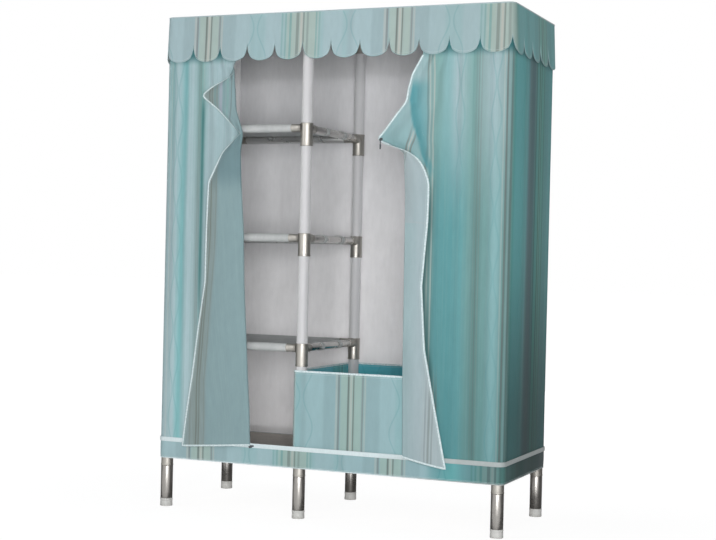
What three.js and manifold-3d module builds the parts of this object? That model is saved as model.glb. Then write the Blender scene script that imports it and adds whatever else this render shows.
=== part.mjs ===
// Portable fabric wardrobe: a frame of plugged tubes, a fitted cloth cover with a
// scalloped valance and two front curtains, three cloth shelves on the left, a cloth
// bin under the hanging space on the right.
// Millimetres, +X to the right, +Y to the back, +Z up. The origin is the centre of the
// bounding box, on the floor.

import * as THREE from 'three';
import { mergeVertices } from 'three/addons/utils/BufferGeometryUtils.js';
import Module from 'manifold-3d';

const wasm = await Module();
wasm.setup();

// Frame: distances between tube axes
const frameWidth = 1204;
const shelfBayWidth = 508;
const frameDepth = 450;
const bottomLevel = 202;
const levelSpacing = 370;
const levelCount = 5;

// Tubes, and the running gap that every fit keeps
const poleDiameter = 37;
const poleWall = 0.8;
const railDiameter = 25;
const railWall = 0.8;
const fitGap = 0.3;

// Connectors: a sleeve round the pole with ports for the rails
const sleeveWall = 2.7;
const sleeveAbove = 16;
const sleeveBelow = 61;
const portWall = 1.2;
const portFloor = 2.2;
const portLength = 33.5;

// Legs and foot caps
const legWall = 2;
const footHeight = 28;
const footWall = 2.8;
const footFloor = 5;
const footChamfer = 1.2;

// Hanging rod clipped under the top rungs
const clipWall = 3;
const clipWidth = 24;
const clipBite = 1.5;
const rodOverhang = 12;

// Cover cloth, skirt and roof
const coverCloth = 1.5;
const skirtBottom = 170;
const skirtTop = 237;
const sideFold = 4;
const backFold = 3;
const roofCloth = 1.7;
const valanceCloth = 2;
const valanceDrop = 160;
const valanceFlare = 8.4;
const lobeDepth = 40;

// Floor cloth, bin and shelves
const floorCloth = 1.4;
const floorOverlap = 12;
const binCloth = 1.5;
const binHeight = 278;
const shelfCloth = 1.2;
const strapWidth = 24;

// Curtains: pleats sewn to the frame side, and a loose leading part with a turned-back lapel
const pleatDepth = 8;
const leftPleatWidth = 147;
const rightPleatWidth = 162;
const leftReach = 266;
const rightReach = 328;
const leftLapel = 120;
const rightLapel = 80;
const leftSag = 19;
const rightSag = 27;
const foldRadius = 5.5;
const seamHem = 4;
const lapelBulge = 5;

// Zip slider and pull at the tip of the right curtain
const sliderWidth = 11;
const sliderDepth = 6;
const sliderHeight = 15;
const earWall = 1.6;
const earDrop = 4.4;
const pinDiameter = 2.4;
const pinStandoff = 3.4;
const pullKnuckle = 5.4;
const pullWidth = 5;
const pullThickness = 2;
const pullLength = 30;

// Counts of faces, folds and lobes
const roundSides = 12;
const railSides = 10;
const smallSides = 8;
const cornerSteps = 3;
const lobeSteps = 6;
const frontLobes = 12;
const sideLobes = 5;
const sideFolds = 2;
const sideSteps = 8;
const backFolds = 3;
const backSteps = 12;
const pleats = 3;
const loosePleats = 2;
const pleatSteps = 6;
const panelSteps = 8;
const turnSteps = 4;
const lapelSteps = 5;

// Shape of the cloth, as shares chosen by eye. Each row runs from the valance's hem (height 1)
// down to the skirt (height 0): height, reach of the leading edge, length of the lapel,
// and how far the lapel is turned back.
const leftRowShares = [
  [1.0, 0.92, 0.05, 0],
  [0.985, 0.92, 0.05, 0.33],
  [0.975, 0.92, 0.05, 0.67],
  [0.967, 0.92, 0.05, 1],
  [0.939, 0.91, 0.57, 1],
  [0.912, 0.912, 0.84, 1],
  [0.873, 0.92, 0.35, 1],
  [0.81, 1.0, 0.05, 1],
  [0.762, 0.972, 0.39, 1],
  [0.684, 0.997, 0.85, 1],
  [0.558, 1.034, 0.98, 1],
  [0.424, 1.07, 1.06, 1],
  [0.301, 1.118, 1.36, 1],
  [0.18, 1.162, 1.62, 1],
  [0.088, 1.188, 1.83, 1],
  [0, 1.205, 2.0, 1],
];
const rightRowShares = [
  [1.0, 0.829, 0.08, 0],
  [0.953, 0.931, 0.08, 0],
  [0.914, 0.973, 0.08, 0],
  [0.885, 0.982, 0.08, 0],
  [0.842, 1.11, 0.08, 0],
  [0.79, 1.256, 0.08, 0],
  [0.776, 1.13, 0.08, 0.33],
  [0.768, 1.065, 0.1, 0.67],
  [0.76, 1.01, 0.15, 1],
  [0.737, 1.0, 0.68, 1],
  [0.712, 1.0, 0.97, 1],
  [0.684, 1.0, 1.11, 1],
  [0.585, 0.997, 1.06, 1],
  [0.43, 0.992, 0.85, 1],
  [0.278, 0.985, 0.99, 1],
  [0.2, 0.979, 1.24, 1],
  [0.109, 0.97, 1.51, 1],
  [0, 0.96, 1.86, 1],
];
const topReachShare = 0.97;
const pleatRowShares = [
  [1.0, 1.0],
  [0.7, 1.0],
  [0.35, 0.9],
  [0, 0.35],
];
const coverRowShares = [1, 0.85, 0.6, 0.35, 0.12, 0];
const strapPlaceShares = [-1 / 6, 1 / 6];
const tipShare = 0.79;
const sagPower = 3;

// Places that follow from the sizes
const leftX = -frameWidth / 2;
const rightX = frameWidth / 2;
const middleX = leftX + shelfBayWidth;
const frontY = -frameDepth / 2;
const backY = frameDepth / 2;
const levelHeight = (index) => bottomLevel + index * levelSpacing;
const topLevel = levelHeight(levelCount - 1);
const poleRadius = poleDiameter / 2;
const railRadius = railDiameter / 2;
const sleeveBore = poleRadius + fitGap;
const sleeveRadius = sleeveBore + sleeveWall;
const portBore = railRadius + fitGap;
const portRadius = portBore + portWall;
const portEnd = sleeveRadius + portLength;
const railStart = sleeveRadius + portFloor + fitGap;
const frameTop = topLevel + sleeveAbove;
const roofUnder = frameTop + fitGap;
const roofTop = roofUnder + roofCloth;
const hemHeight = roofTop - valanceDrop;
const coverInner = sleeveRadius + fitGap;
const coverLine = coverInner + coverCloth / 2;
const coverOuter = coverInner + coverCloth;
const capInner = coverOuter + fitGap;
const capOuter = capInner + valanceCloth;
const curtainBottom = skirtTop + fitGap;
const curtainTop = roofUnder - fitGap;
const floorBottom = bottomLevel + portRadius + fitGap;
const floorTop = floorBottom + floorCloth;
const binBottom = Math.max(floorTop, bottomLevel + sleeveAbove) + fitGap;
const overrun = 10 * fitGap;

// Materials
const finish = (color, roughness, metalness = 0) => () =>
  new THREE.MeshStandardMaterial({ color, roughness, metalness });
const whiteTube = finish(0xe2e2e2, 0.4);
const steel = finish(0xb8b4ae, 0.28, 0.9);
const footPlastic = finish(0xd6d6d2, 0.5);
const printedCloth = finish(0x8fc3c6, 0.85);
const shadedCloth = finish(0x7fb3b8, 0.85);
const greyCloth = finish(0xb9babb, 0.9);
const floorStuff = finish(0x8a8480, 0.9);
const shelfStuff = finish(0xc8cccc, 0.85);
const darkZinc = finish(0x44474a, 0.35, 0.8);

const wardrobe = new THREE.Group();

function addPiece(name, geometry, material, x = 0, y = 0, z = 0) {
  const mesh = new THREE.Mesh(geometry, material());
  mesh.name = name;
  mesh.position.set(x, y, z);
  wardrobe.add(mesh);
  return mesh;
}

// Joining and cutting
function bare(geometry) {
  const copy = geometry.clone();
  copy.deleteAttribute('normal');
  copy.deleteAttribute('uv');
  return mergeVertices(copy);
}

function solid(geometry) {
  const merged = bare(geometry);
  return new wasm.Manifold(new wasm.Mesh({
    numProp: 3,
    vertProperties: new Float32Array(merged.attributes.position.array),
    triVerts: new Uint32Array(merged.index.array),
  }));
}

function shell(manifold) {
  const mesh = manifold.getMesh();
  const geometry = new THREE.BufferGeometry();
  geometry.setAttribute('position', new THREE.BufferAttribute(mesh.vertProperties, mesh.numProp));
  geometry.setIndex(new THREE.BufferAttribute(mesh.triVerts, 1));
  return geometry;
}

function joined(geometries) {
  return geometries.map(solid).reduce((whole, part) => whole.add(part));
}

function cut(whole, geometries) {
  return geometries.map(solid).reduce((rest, part) => rest.subtract(part), whole);
}

// Round and square stock, lying along an axis from its start to its end
const turnTo = {
  x: (geometry) => geometry.rotateY(Math.PI / 2),
  y: (geometry) => geometry.rotateX(-Math.PI / 2),
  z: (geometry) => geometry,
};
const shiftTo = {
  x: (geometry, distance) => geometry.translate(distance, 0, 0),
  y: (geometry, distance) => geometry.translate(0, distance, 0),
  z: (geometry, distance) => geometry.translate(0, 0, distance),
};

function rod(axis, radius, start, end, sides = roundSides) {
  const geometry = new THREE.CylinderGeometry(radius, radius, end - start, sides);
  geometry.rotateX(Math.PI / 2);
  return shiftTo[axis](turnTo[axis](geometry), (start + end) / 2);
}

function tube(axis, outer, inner, start, end, sides = roundSides) {
  const profile = [
    new THREE.Vector2(inner, 0),
    new THREE.Vector2(outer, 0),
    new THREE.Vector2(outer, end - start),
    new THREE.Vector2(inner, end - start),
    new THREE.Vector2(inner, 0),
  ];
  const geometry = new THREE.LatheGeometry(profile, sides);
  geometry.rotateX(Math.PI / 2);
  return shiftTo[axis](turnTo[axis](geometry), start);
}

function block(low, high) {
  const size = high.map((value, index) => value - low[index]);
  const centre = high.map((value, index) => (value + low[index]) / 2);
  return new THREE.BoxGeometry(...size).translate(...centre);
}

// Outline of the frame set out by an offset, rounded about the corner poles
function ringOutline(path, offset) {
  const corners = [
    [rightX, frontY, -Math.PI / 2],
    [rightX, backY, 0],
    [leftX, backY, Math.PI / 2],
    [leftX, frontY, Math.PI],
  ];
  corners.forEach(([x, y, angle]) => {
    path.absarc(x, y, offset, angle, angle + Math.PI / 2, false);
  });
  path.closePath();
  return path;
}

function ringPrism(outer, inner, bottom, top) {
  const shape = ringOutline(new THREE.Shape(), outer);
  if (inner > 0) {
    shape.holes.push(ringOutline(new THREE.Path(), inner));
  }
  const options = { depth: top - bottom, bevelEnabled: false, curveSegments: cornerSteps };
  return new THREE.ExtrudeGeometry(shape, options).translate(0, 0, bottom);
}

// A cloth sheet from a grid of points on its middle surface. Rows run downwards, and a
// row's points run so that the sheet's face looks along (across x up).
function sheet(rows, thickness) {
  const rowCount = rows.length;
  const columnCount = rows[0].length;
  const geometry = new THREE.BoxGeometry(1, 1, 1, columnCount - 1, rowCount - 1, 1);
  const position = geometry.attributes.position;
  const across = new THREE.Vector3();
  const up = new THREE.Vector3();
  const point = new THREE.Vector3();
  for (let index = 0; index < position.count; index += 1) {
    const column = Math.round((position.getX(index) + 0.5) * (columnCount - 1));
    const row = Math.round((0.5 - position.getY(index)) * (rowCount - 1));
    const here = rows[row];
    across.subVectors(here[Math.min(column + 1, columnCount - 1)], here[Math.max(column - 1, 0)]);
    up.subVectors(rows[Math.max(row - 1, 0)][column], rows[Math.min(row + 1, rowCount - 1)][column]);
    const normal = across.cross(up).normalize();
    point.copy(here[column]).addScaledVector(normal, 2 * position.getZ(index) * thickness / 2);
    position.setXYZ(index, point.x, point.y, point.z);
  }
  return bare(geometry);
}

const steps = (count) => Array.from({ length: count + 1 }, (_, index) => index / count);
const wave = (along, count) => (1 - Math.cos(2 * Math.PI * count * along)) / 2;

// Foot caps, legs and poles
function footCap() {
  const outer = sleeveBore + footWall;
  const profile = [
    [0, 0],
    [outer - footChamfer, 0],
    [outer, footChamfer],
    [outer, footHeight],
    [sleeveBore, footHeight],
    [sleeveBore, footFloor],
    [0, footFloor],
  ].map(([radius, height]) => new THREE.Vector2(radius, height));
  return bare(new THREE.LatheGeometry(profile, roundSides).rotateX(Math.PI / 2));
}

const legTube = () =>
  bare(tube('z', sleeveBore + legWall, sleeveBore, footHeight + fitGap, bottomLevel - sleeveBelow - fitGap));
const poleTube = () => bare(tube('z', poleRadius, poleRadius - poleWall, footFloor + fitGap, frameTop));

const columns = [['left', leftX], ['middle', middleX], ['right', rightX]];
const faces = [['front', frontY], ['back', backY]];
for (const [columnName, x] of columns) {
  for (const [faceName, y] of faces) {
    const place = `${faceName}_${columnName}`;
    addPiece(`foot_${place}`, footCap(), footPlastic, x, y);
    addPiece(`leg_${place}`, legTube(), steel, x, y);
    addPiece(`pole_${place}`, poleTube(), whiteTube, x, y);
  }
}

// Rungs: a front and a back connector with the depth tube pressed between them
function rung(portSides) {
  const solids = [];
  const bores = [];
  for (const y of [frontY, backY]) {
    const inward = -Math.sign(y);
    solids.push(rod('z', sleeveRadius, -sleeveBelow, sleeveAbove).translate(0, y, 0));
    bores.push(rod('z', sleeveBore, -sleeveBelow - overrun, sleeveAbove + overrun).translate(0, y, 0));
    const collar = [y, y + inward * portEnd].sort((low, high) => low - high);
    solids.push(rod('y', portRadius, collar[0], collar[1], railSides));
    for (const side of portSides) {
      const port = [0, side * portEnd].sort((low, high) => low - high);
      const seat = [side * (railStart - fitGap), side * (portEnd + overrun)].sort((low, high) => low - high);
      solids.push(rod('x', portRadius, port[0], port[1], railSides).translate(0, y, 0));
      bores.push(rod('x', portBore, seat[0], seat[1], railSides).translate(0, y, 0));
    }
  }
  solids.push(rod('y', railRadius, frontY, backY, railSides));
  bores.push(rod('y', railRadius - railWall, frontY, backY, smallSides));
  return shell(cut(joined(solids), bores));
}

const levels = [
  ['base', 0],
  ['shelf_low', 1],
  ['shelf_mid', 2],
  ['shelf_high', 3],
  ['top', levelCount - 1],
];
const columnPorts = { left: [1], middle: [-1, 1], right: [-1] };
for (const [levelName, index] of levels) {
  const isShelf = levelName.startsWith('shelf');
  for (const [columnName, x] of columns) {
    if (isShelf && columnName === 'right') continue;
    const ports = isShelf && columnName === 'middle' ? [-1] : columnPorts[columnName];
    addPiece(`rung_${levelName}_${columnName}`, rung(ports), steel, x, 0, levelHeight(index));
  }
}

// Rails between the columns
const bays = [['left_bay', leftX, middleX], ['right_bay', middleX, rightX]];
for (const [levelName, index] of levels) {
  const isShelf = levelName.startsWith('shelf');
  for (const [bayName, start, end] of bays) {
    if (isShelf && bayName === 'right_bay') continue;
    for (const [faceName, y] of faces) {
      const inner = railRadius - railWall;
      const rail = tube('x', railRadius, inner, start + railStart, end - railStart, railSides);
      const name = isShelf ? `rail_${levelName}_${faceName}` : `rail_${levelName}_${faceName}_${bayName}`;
      const material = isShelf && faceName === 'front' ? whiteTube : steel;
      addPiece(name, bare(rail), material, 0, y, levelHeight(index));
    }
  }
}

// Hanging rod of the right bay
function hangingRod() {
  const clipInner = railRadius + fitGap;
  const clipOuter = clipInner + clipWall;
  const drop = clipOuter + railRadius - clipBite;
  const start = middleX - rodOverhang;
  const end = rightX + rodOverhang;
  const inner = railRadius - railWall;
  const solids = [rod('x', railRadius, start, end, railSides).translate(0, 0, -drop)];
  const bores = [rod('x', inner, start - overrun, end + overrun, railSides).translate(0, 0, -drop)];
  for (const x of [middleX, rightX]) {
    solids.push(rod('y', clipOuter, -clipWidth / 2, clipWidth / 2, railSides).translate(x, 0, 0));
    bores.push(rod('y', clipInner, -clipWidth, clipWidth, railSides).translate(x, 0, 0));
  }
  return shell(cut(joined(solids), bores));
}
addPiece('hanging_rod', hangingRod(), steel, 0, 0, topLevel);

// Cloth shelves: hems round the front and back rails, two straps round each side tube
function shelfSheet() {
  const left = leftX + portEnd + fitGap;
  const right = middleX - portEnd - fitGap;
  const under = portBore;
  const over = portBore + shelfCloth;
  const cornerCut = frameDepth / 2 - portEnd - fitGap;
  const sideClear = railRadius + fitGap;
  const solids = [
    block([left, frontY, under], [right, backY, over]),
    block([leftX + sideClear, -cornerCut, under], [middleX - sideClear, cornerCut, over]),
  ];
  const bores = [];
  for (const y of [frontY, backY]) {
    solids.push(rod('x', over, left, right, railSides).translate(0, y, 0));
    bores.push(rod('x', under, left - overrun, right + overrun, railSides).translate(0, y, 0));
  }
  for (const share of strapPlaceShares) {
    const y = share * frameDepth;
    const [low, high] = [y - strapWidth / 2, y + strapWidth / 2];
    for (const [x, inward] of [[leftX, 1], [middleX, -1]]) {
      const reach = [x, x + inward * 2 * sideClear].sort((small, large) => small - large);
      solids.push(rod('y', over, low, high, railSides).translate(x, 0, 0));
      solids.push(block([reach[0], low, under], [reach[1], high, over]));
      bores.push(rod('y', under, low - overrun, high + overrun, railSides).translate(x, 0, 0));
    }
  }
  return shell(cut(joined(solids), bores));
}
for (const [levelName, index] of levels.filter(([name]) => name.startsWith('shelf'))) {
  addPiece(`${levelName}_cloth`, shelfSheet(), shelfStuff, 0, 0, levelHeight(index));
}

// Floor cloth with a clearance round every sleeve
function floorPanel() {
  const corner = [rightX + floorOverlap, backY + floorOverlap];
  const plate = block([-corner[0], -corner[1], floorBottom], [corner[0], corner[1], floorTop]);
  const holes = columns.flatMap(([, x]) => faces.map(([, y]) =>
    rod('z', sleeveRadius + fitGap, floorBottom - overrun, floorTop + overrun).translate(x, y, 0)));
  return shell(cut(joined([plate]), holes));
}
addPiece('floor_panel', floorPanel(), floorStuff);

// Bin: an open cloth box round the middle poles, between the floor and the hanging space
function storageBin() {
  const reach = poleRadius + fitGap;
  const outer = reach + binCloth;
  const inside = {
    low: [middleX - reach, frontY - reach, binBottom + binCloth],
    high: [rightX - outer, backY + reach, binBottom + binHeight + overrun],
  };
  const box = block(
    [middleX - outer, frontY - outer, binBottom],
    [rightX - reach, backY + outer, binBottom + binHeight],
  );
  const poleHoles = faces.map(([, y]) =>
    rod('z', reach + fitGap, binBottom - overrun, binBottom + binCloth + overrun).translate(middleX, y, 0));
  // Notches that keep a taller bin clear of the low shelf's connectors
  const shelfLevel = levelHeight(1);
  const notchTop = Math.max(shelfLevel + sleeveAbove, binBottom + binHeight) + overrun;
  const notches = faces.flatMap(([, y]) => [
    rod('z', sleeveRadius + fitGap, shelfLevel - sleeveBelow - fitGap, notchTop).translate(middleX, y, 0),
    rod('x', portRadius + fitGap, middleX - portEnd - fitGap, middleX).translate(0, y, shelfLevel),
  ]);
  return shell(cut(joined([box]), [block(inside.low, inside.high), ...poleHoles, ...notches]));
}
addPiece('storage_bin', storageBin(), shadedCloth);

// Roof with its valance: scallops on the front and the sides, a straight hem at the back
function scallopCutter(start, end, lobes) {
  const pitch = (end - start) / lobes;
  const shape = new THREE.Shape();
  shape.moveTo(start, hemHeight - lobeDepth);
  shape.lineTo(end, hemHeight - lobeDepth);
  for (let lobe = lobes - 1; lobe >= 0; lobe -= 1) {
    for (const step of steps(lobeSteps)) {
      if (step === 1 && lobe > 0) continue;
      const angle = step * Math.PI;
      const s = start + pitch * (lobe + 0.5 + 0.5 * Math.cos(angle));
      shape.lineTo(s, hemHeight + lobeDepth * (1 - Math.sin(angle)));
    }
  }
  shape.closePath();
  return shape;
}

function roofCap() {
  const solids = joined([ringPrism(capOuter, 0, hemHeight, roofTop)]);
  const hollow = ringPrism(capInner, 0, hemHeight - overrun, roofUnder);
  const frontShape = scallopCutter(leftX - capOuter, rightX + capOuter, frontLobes);
  const sideShape = scallopCutter(frontY - capOuter, backY + capOuter, sideLobes);
  const front = new THREE.ExtrudeGeometry(frontShape, { depth: 2 * capOuter, bevelEnabled: false });
  front.rotateX(Math.PI / 2).translate(0, frontY, 0);
  const cutters = [hollow, front];
  for (const x of [leftX - 2 * capOuter, rightX]) {
    const side = new THREE.ExtrudeGeometry(sideShape, { depth: 2 * capOuter, bevelEnabled: false });
    side.rotateX(Math.PI / 2).rotateZ(Math.PI / 2).translate(x, 0, 0);
    cutters.push(side);
  }
  const geometry = shell(cut(solids, cutters));
  const position = geometry.attributes.position;
  for (let index = 0; index < position.count; index += 1) {
    const lean = valanceFlare * (roofTop - position.getZ(index)) / valanceDrop;
    position.setX(index, position.getX(index) * (1 + lean / (rightX + capOuter)));
    position.setY(index, position.getY(index) * (1 + lean / (backY + capOuter)));
  }
  return geometry;
}
addPiece('roof_and_valance', roofCap(), printedCloth);

// Side cloths and skirt: one printed cloth that rings the foot of the cover and rises at the
// two sides, in shallow hanging folds, as far as the back corners
function hangingRows(bottom, pointsAt) {
  return coverRowShares.map((share) => {
    const z = bottom + share * (curtainTop - bottom);
    return pointsAt(share).map(([x, y]) => new THREE.Vector3(x, y, z));
  });
}

const foldAt = (depth, share, along, count) => depth * Math.sin(Math.PI * share) * wave(along, count);

function sideSheet(side) {
  const rows = hangingRows(skirtTop - overrun, (share) => {
    const straight = steps(sideSteps).map((t) => [
      side * (rightX + coverLine + foldAt(sideFold, share, t, sideFolds)),
      backY * (2 * t - 1),
    ]);
    const corner = steps(cornerSteps).slice(1).map((t) => [
      side * (rightX + coverLine * Math.cos(t * Math.PI / 2)),
      backY + coverLine * Math.sin(t * Math.PI / 2),
    ]);
    const points = [...straight, ...corner];
    return side > 0 ? points : points.reverse();
  });
  return sheet(rows, coverCloth);
}

function sidesAndSkirt() {
  const ring = ringPrism(coverOuter, coverInner, skirtBottom, skirtTop);
  return shell(joined([ring, sideSheet(-1), sideSheet(1)]));
}
addPiece('side_cover_and_skirt', sidesAndSkirt(), printedCloth);

// Plain back panel between the back corners
function backPanel() {
  const rows = hangingRows(curtainBottom, (share) => steps(backSteps).map((t) => [
    rightX - fitGap - t * (frameWidth - 2 * fitGap),
    backY + coverLine + foldAt(backFold, share, t, backFolds),
  ]));
  return sheet(rows, coverCloth);
}
addPiece('back_panel', backPanel(), greyCloth);

// Curtains. Heights between the skirt and the valance's hem are shares of that distance.
const curtainHeight = (share) => curtainBottom + share * (hemHeight - curtainBottom);

function pleatAt(z) {
  if (z >= hemHeight) {
    return pleatDepth * (curtainTop - z) / (curtainTop - hemHeight);
  }
  const share = (z - curtainBottom) / (hemHeight - curtainBottom);
  const below = pleatRowShares.findIndex(([height]) => height <= share);
  const [lowHeight, lowDepth] = pleatRowShares[Math.max(below, 1)];
  const [highHeight, highDepth] = pleatRowShares[Math.max(below, 1) - 1];
  const t = (share - lowHeight) / (highHeight - lowHeight);
  return pleatDepth * (lowDepth + t * (highDepth - lowDepth));
}

const seamAngle = 2 * fitGap / coverLine;

// side is -1 for the left curtain and 1 for the right one
function pleatedPart(side, width) {
  const cornerX = side * rightX;
  const heights = [curtainTop, ...pleatRowShares.map(([share]) => curtainHeight(share))];
  const rows = heights.map((z) => {
    const points = steps(cornerSteps).slice(0, -1).map((t) => {
      const angle = seamAngle + t * (Math.PI / 2 - seamAngle);
      return new THREE.Vector3(
        cornerX + side * coverLine * Math.cos(angle),
        frontY - coverLine * Math.sin(angle),
        z,
      );
    });
    steps(pleats * pleatSteps).forEach((t) => {
      const y = frontY - coverLine - pleatAt(z) * wave(t, pleats);
      points.push(new THREE.Vector3(cornerX - side * (width - seamHem) * t, y, z));
    });
    points.push(new THREE.Vector3(cornerX - side * width, frontY - coverLine, z));
    return side < 0 ? points : points.reverse();
  });
  return sheet(rows, coverCloth);
}

// One level of the loose part: out along the opening, round the turn, back along the lapel
function looseRow(side, z, width, lead, lapel, turn, sag) {
  const seam = rightX - width - fitGap;
  const angle = turn * Math.PI;
  const turnLength = Math.PI * foldRadius;
  const bend = [];
  let across = 0;
  let out = 0;
  for (let step = 1; step <= turnSteps; step += 1) {
    const heading = angle * (step - 0.5) / turnSteps;
    across += Math.cos(heading) * turnLength / turnSteps;
    out += Math.sin(heading) * turnLength / turnSteps;
    bend.push([across, out, 0]);
  }
  for (let step = 1; step <= lapelSteps; step += 1) {
    const share = step / lapelSteps;
    const bulge = turn * lapelBulge * Math.sin(Math.PI * share);
    bend.push([
      across + Math.cos(angle) * lapel * share,
      out + Math.sin(angle) * lapel * share + bulge,
      share,
    ]);
  }
  const furthest = Math.max(...bend.map(([reach]) => reach));
  const panel = lead - furthest;
  const points = [new THREE.Vector3(side * seam, frontY - coverLine, z)];
  steps(panelSteps).forEach((t) => {
    const y = frontY - coverLine - pleatAt(z) * wave(t, loosePleats);
    const x = seam - seamHem - t * (panel - width - fitGap - seamHem);
    points.push(new THREE.Vector3(side * x, y, z));
  });
  for (const [reach, outward, share] of bend) {
    const x = side * (rightX - panel - reach);
    points.push(new THREE.Vector3(x, frontY - coverLine - outward, z - sag * share));
  }
  return side < 0 ? points : points.reverse();
}

function loosePart(side, width, reach, lapel, sag, rowShares) {
  const [, firstReach, firstLapel] = rowShares[0];
  const top = [curtainTop, reach * firstReach * topReachShare, lapel * firstLapel, 0, 0];
  const lower = rowShares.map(([height, reachShare, lapelShare, turn]) => [
    curtainHeight(height),
    reach * reachShare,
    lapel * lapelShare,
    turn,
    sag * (1 - height) ** sagPower,
  ]);
  const rows = [top, ...lower].map(([z, lead, length, turn, drop]) =>
    looseRow(side, z, width, lead, length, turn, drop));
  return sheet(rows, coverCloth);
}

addPiece('left_curtain_pleats', pleatedPart(-1, leftPleatWidth), printedCloth);
addPiece('right_curtain_pleats', pleatedPart(1, rightPleatWidth), printedCloth);
addPiece(
  'left_curtain',
  loosePart(-1, leftPleatWidth, leftReach, leftLapel, leftSag, leftRowShares),
  shadedCloth,
);
addPiece(
  'right_curtain',
  loosePart(1, rightPleatWidth, rightReach, rightLapel, rightSag, rightRowShares),
  shadedCloth,
);

// Zip slider on the right curtain's tip, and the pull that hangs from its cross pin
const tipReachShare = rightRowShares.find(([height]) => height === tipShare)[1];
const tipX = rightX - rightReach * tipReachShare;
const pinRadius = pinDiameter / 2;
const pinY = -sliderDepth / 2 - pinStandoff;
const pinSpan = pullKnuckle / 2 + fitGap;

function zipSlider() {
  const body = block(
    [-sliderWidth / 2, -sliderDepth / 2, -sliderHeight / 2],
    [sliderWidth / 2, sliderDepth / 2, sliderHeight / 2],
  );
  const ears = [-1, 1].map((side) => {
    const inner = side * pinSpan;
    const outer = side * (pinSpan + earWall);
    return block(
      [Math.min(inner, outer), pinY - earDrop / 2, -earDrop / 2],
      [Math.max(inner, outer), 0, earDrop / 2],
    );
  });
  const pin = rod('x', pinRadius, -pinSpan - earWall / 2, pinSpan + earWall / 2, smallSides);
  return shell(joined([body, ...ears, pin.translate(0, pinY, 0)]));
}

function zipPull() {
  const bore = pinRadius + fitGap;
  const knuckle = rod('x', pullKnuckle / 2, -pullWidth / 2, pullWidth / 2, smallSides);
  const blade = block(
    [-pullWidth / 2, -pullThickness / 2, -pullLength],
    [pullWidth / 2, pullThickness / 2, -bore],
  );
  const hole = rod('x', bore, -pullWidth, pullWidth, smallSides);
  return shell(cut(joined([knuckle, blade]), [hole]));
}

const sliderPlace = [tipX - fitGap - sliderWidth / 2, frontY - coverLine, curtainHeight(tipShare)];
addPiece('zip_slider', zipSlider(), darkZinc, ...sliderPlace);
addPiece('zip_pull', zipPull(), darkZinc, sliderPlace[0], sliderPlace[1] + pinY, sliderPlace[2]);

// Stand the wardrobe on the floor, centred on its bounding box
const bounds = new THREE.Box3().setFromObject(wardrobe);
const middle = bounds.getCenter(new THREE.Vector3());
wardrobe.position.set(-middle.x, -middle.y, -bounds.min.z);

export default wardrobe;
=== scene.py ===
import math

import bmesh
import bpy
import numpy as np
from mathutils import Matrix, Vector


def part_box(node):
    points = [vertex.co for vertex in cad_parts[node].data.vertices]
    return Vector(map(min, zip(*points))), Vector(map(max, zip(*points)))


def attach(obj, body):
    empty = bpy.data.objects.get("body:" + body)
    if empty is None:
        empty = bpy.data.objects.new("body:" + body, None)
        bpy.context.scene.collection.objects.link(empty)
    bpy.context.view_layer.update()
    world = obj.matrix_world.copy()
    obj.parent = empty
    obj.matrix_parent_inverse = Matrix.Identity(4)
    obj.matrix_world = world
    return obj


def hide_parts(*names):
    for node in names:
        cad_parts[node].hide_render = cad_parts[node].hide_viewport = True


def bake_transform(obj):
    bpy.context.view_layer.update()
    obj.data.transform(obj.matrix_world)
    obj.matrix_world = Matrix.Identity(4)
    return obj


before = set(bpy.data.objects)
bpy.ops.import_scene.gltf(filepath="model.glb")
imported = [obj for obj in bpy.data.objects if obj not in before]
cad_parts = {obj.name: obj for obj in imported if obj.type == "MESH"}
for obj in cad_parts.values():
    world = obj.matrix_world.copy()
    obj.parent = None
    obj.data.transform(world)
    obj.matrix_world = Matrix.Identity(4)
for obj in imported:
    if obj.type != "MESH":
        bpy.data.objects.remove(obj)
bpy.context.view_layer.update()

# Portable fabric wardrobe: a frame of white poles and steel rungs, a fitted striped cover
# with a scalloped valance and two front curtains, cloth shelves and a cloth bin.
mm = 0.001
quarter = math.pi / 2
whole_turn = 2 * math.pi


def middle_of(node):
    low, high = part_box(node)
    return (low + high) / 2


# Places that come from the frame
column_x = {name: middle_of(f"pole_front_{name}").x for name in ("left", "middle", "right")}
face_y = {name: middle_of(f"pole_{name}_left").y for name in ("front", "back")}
level_rails = {
    "base": "rail_base_front_left_bay",
    "shelf_low": "rail_shelf_low_front",
    "shelf_mid": "rail_shelf_mid_front",
    "shelf_high": "rail_shelf_high_front",
    "top": "rail_top_front_left_bay",
}
level_z = {name: middle_of(rail).z for name, rail in level_rails.items()}
left_x, middle_x, right_x = column_x.values()
front_y, back_y = face_y.values()
depth = back_y - front_y
roof_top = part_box("roof_and_valance")[1].z
skirt_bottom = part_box("side_cover_and_skirt")[0].z
curtain_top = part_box("left_curtain")[1].z
frame_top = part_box("pole_front_left")[1].z

# Sizes of the rigid pieces, as in the frame
pole_radius = 18.5 * mm
rail_radius = 12.5 * mm
sleeve_radius = 21.5 * mm
sleeve_above = 16 * mm
sleeve_below = 61 * mm
port_radius = 14 * mm
port_end = 55 * mm
leg_radius = 20.8 * mm
foot_radius = 21.6 * mm
foot_height = 28 * mm
gap = 0.3 * mm
tube_bevel = 0.6 * mm
rail_bevel = 0.4 * mm
bore_share = 0.86
rim_steps = 3

# Sizes of the cloth
cloth_line = 22.55 * mm
cap_line = 24.8 * mm
cloth_thick = 1.2 * mm
valance_drop = 160 * mm
valance_lean = 6.3 * mm
lobe_depth = 40 * mm
notch_slit = 20 * mm
notch_share = 0.2
front_lobes = 12
side_lobes = 5
lobe_front_end = right_x + cap_line * quarter / 2
lobe_side_end = lobe_front_end + cap_line * quarter + depth
skirt_top = 237 * mm
hem_height = roof_top - valance_drop
piping_radius = 2.1 * mm
binding_reach = 3.0 * mm
binding_sides = 10

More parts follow.
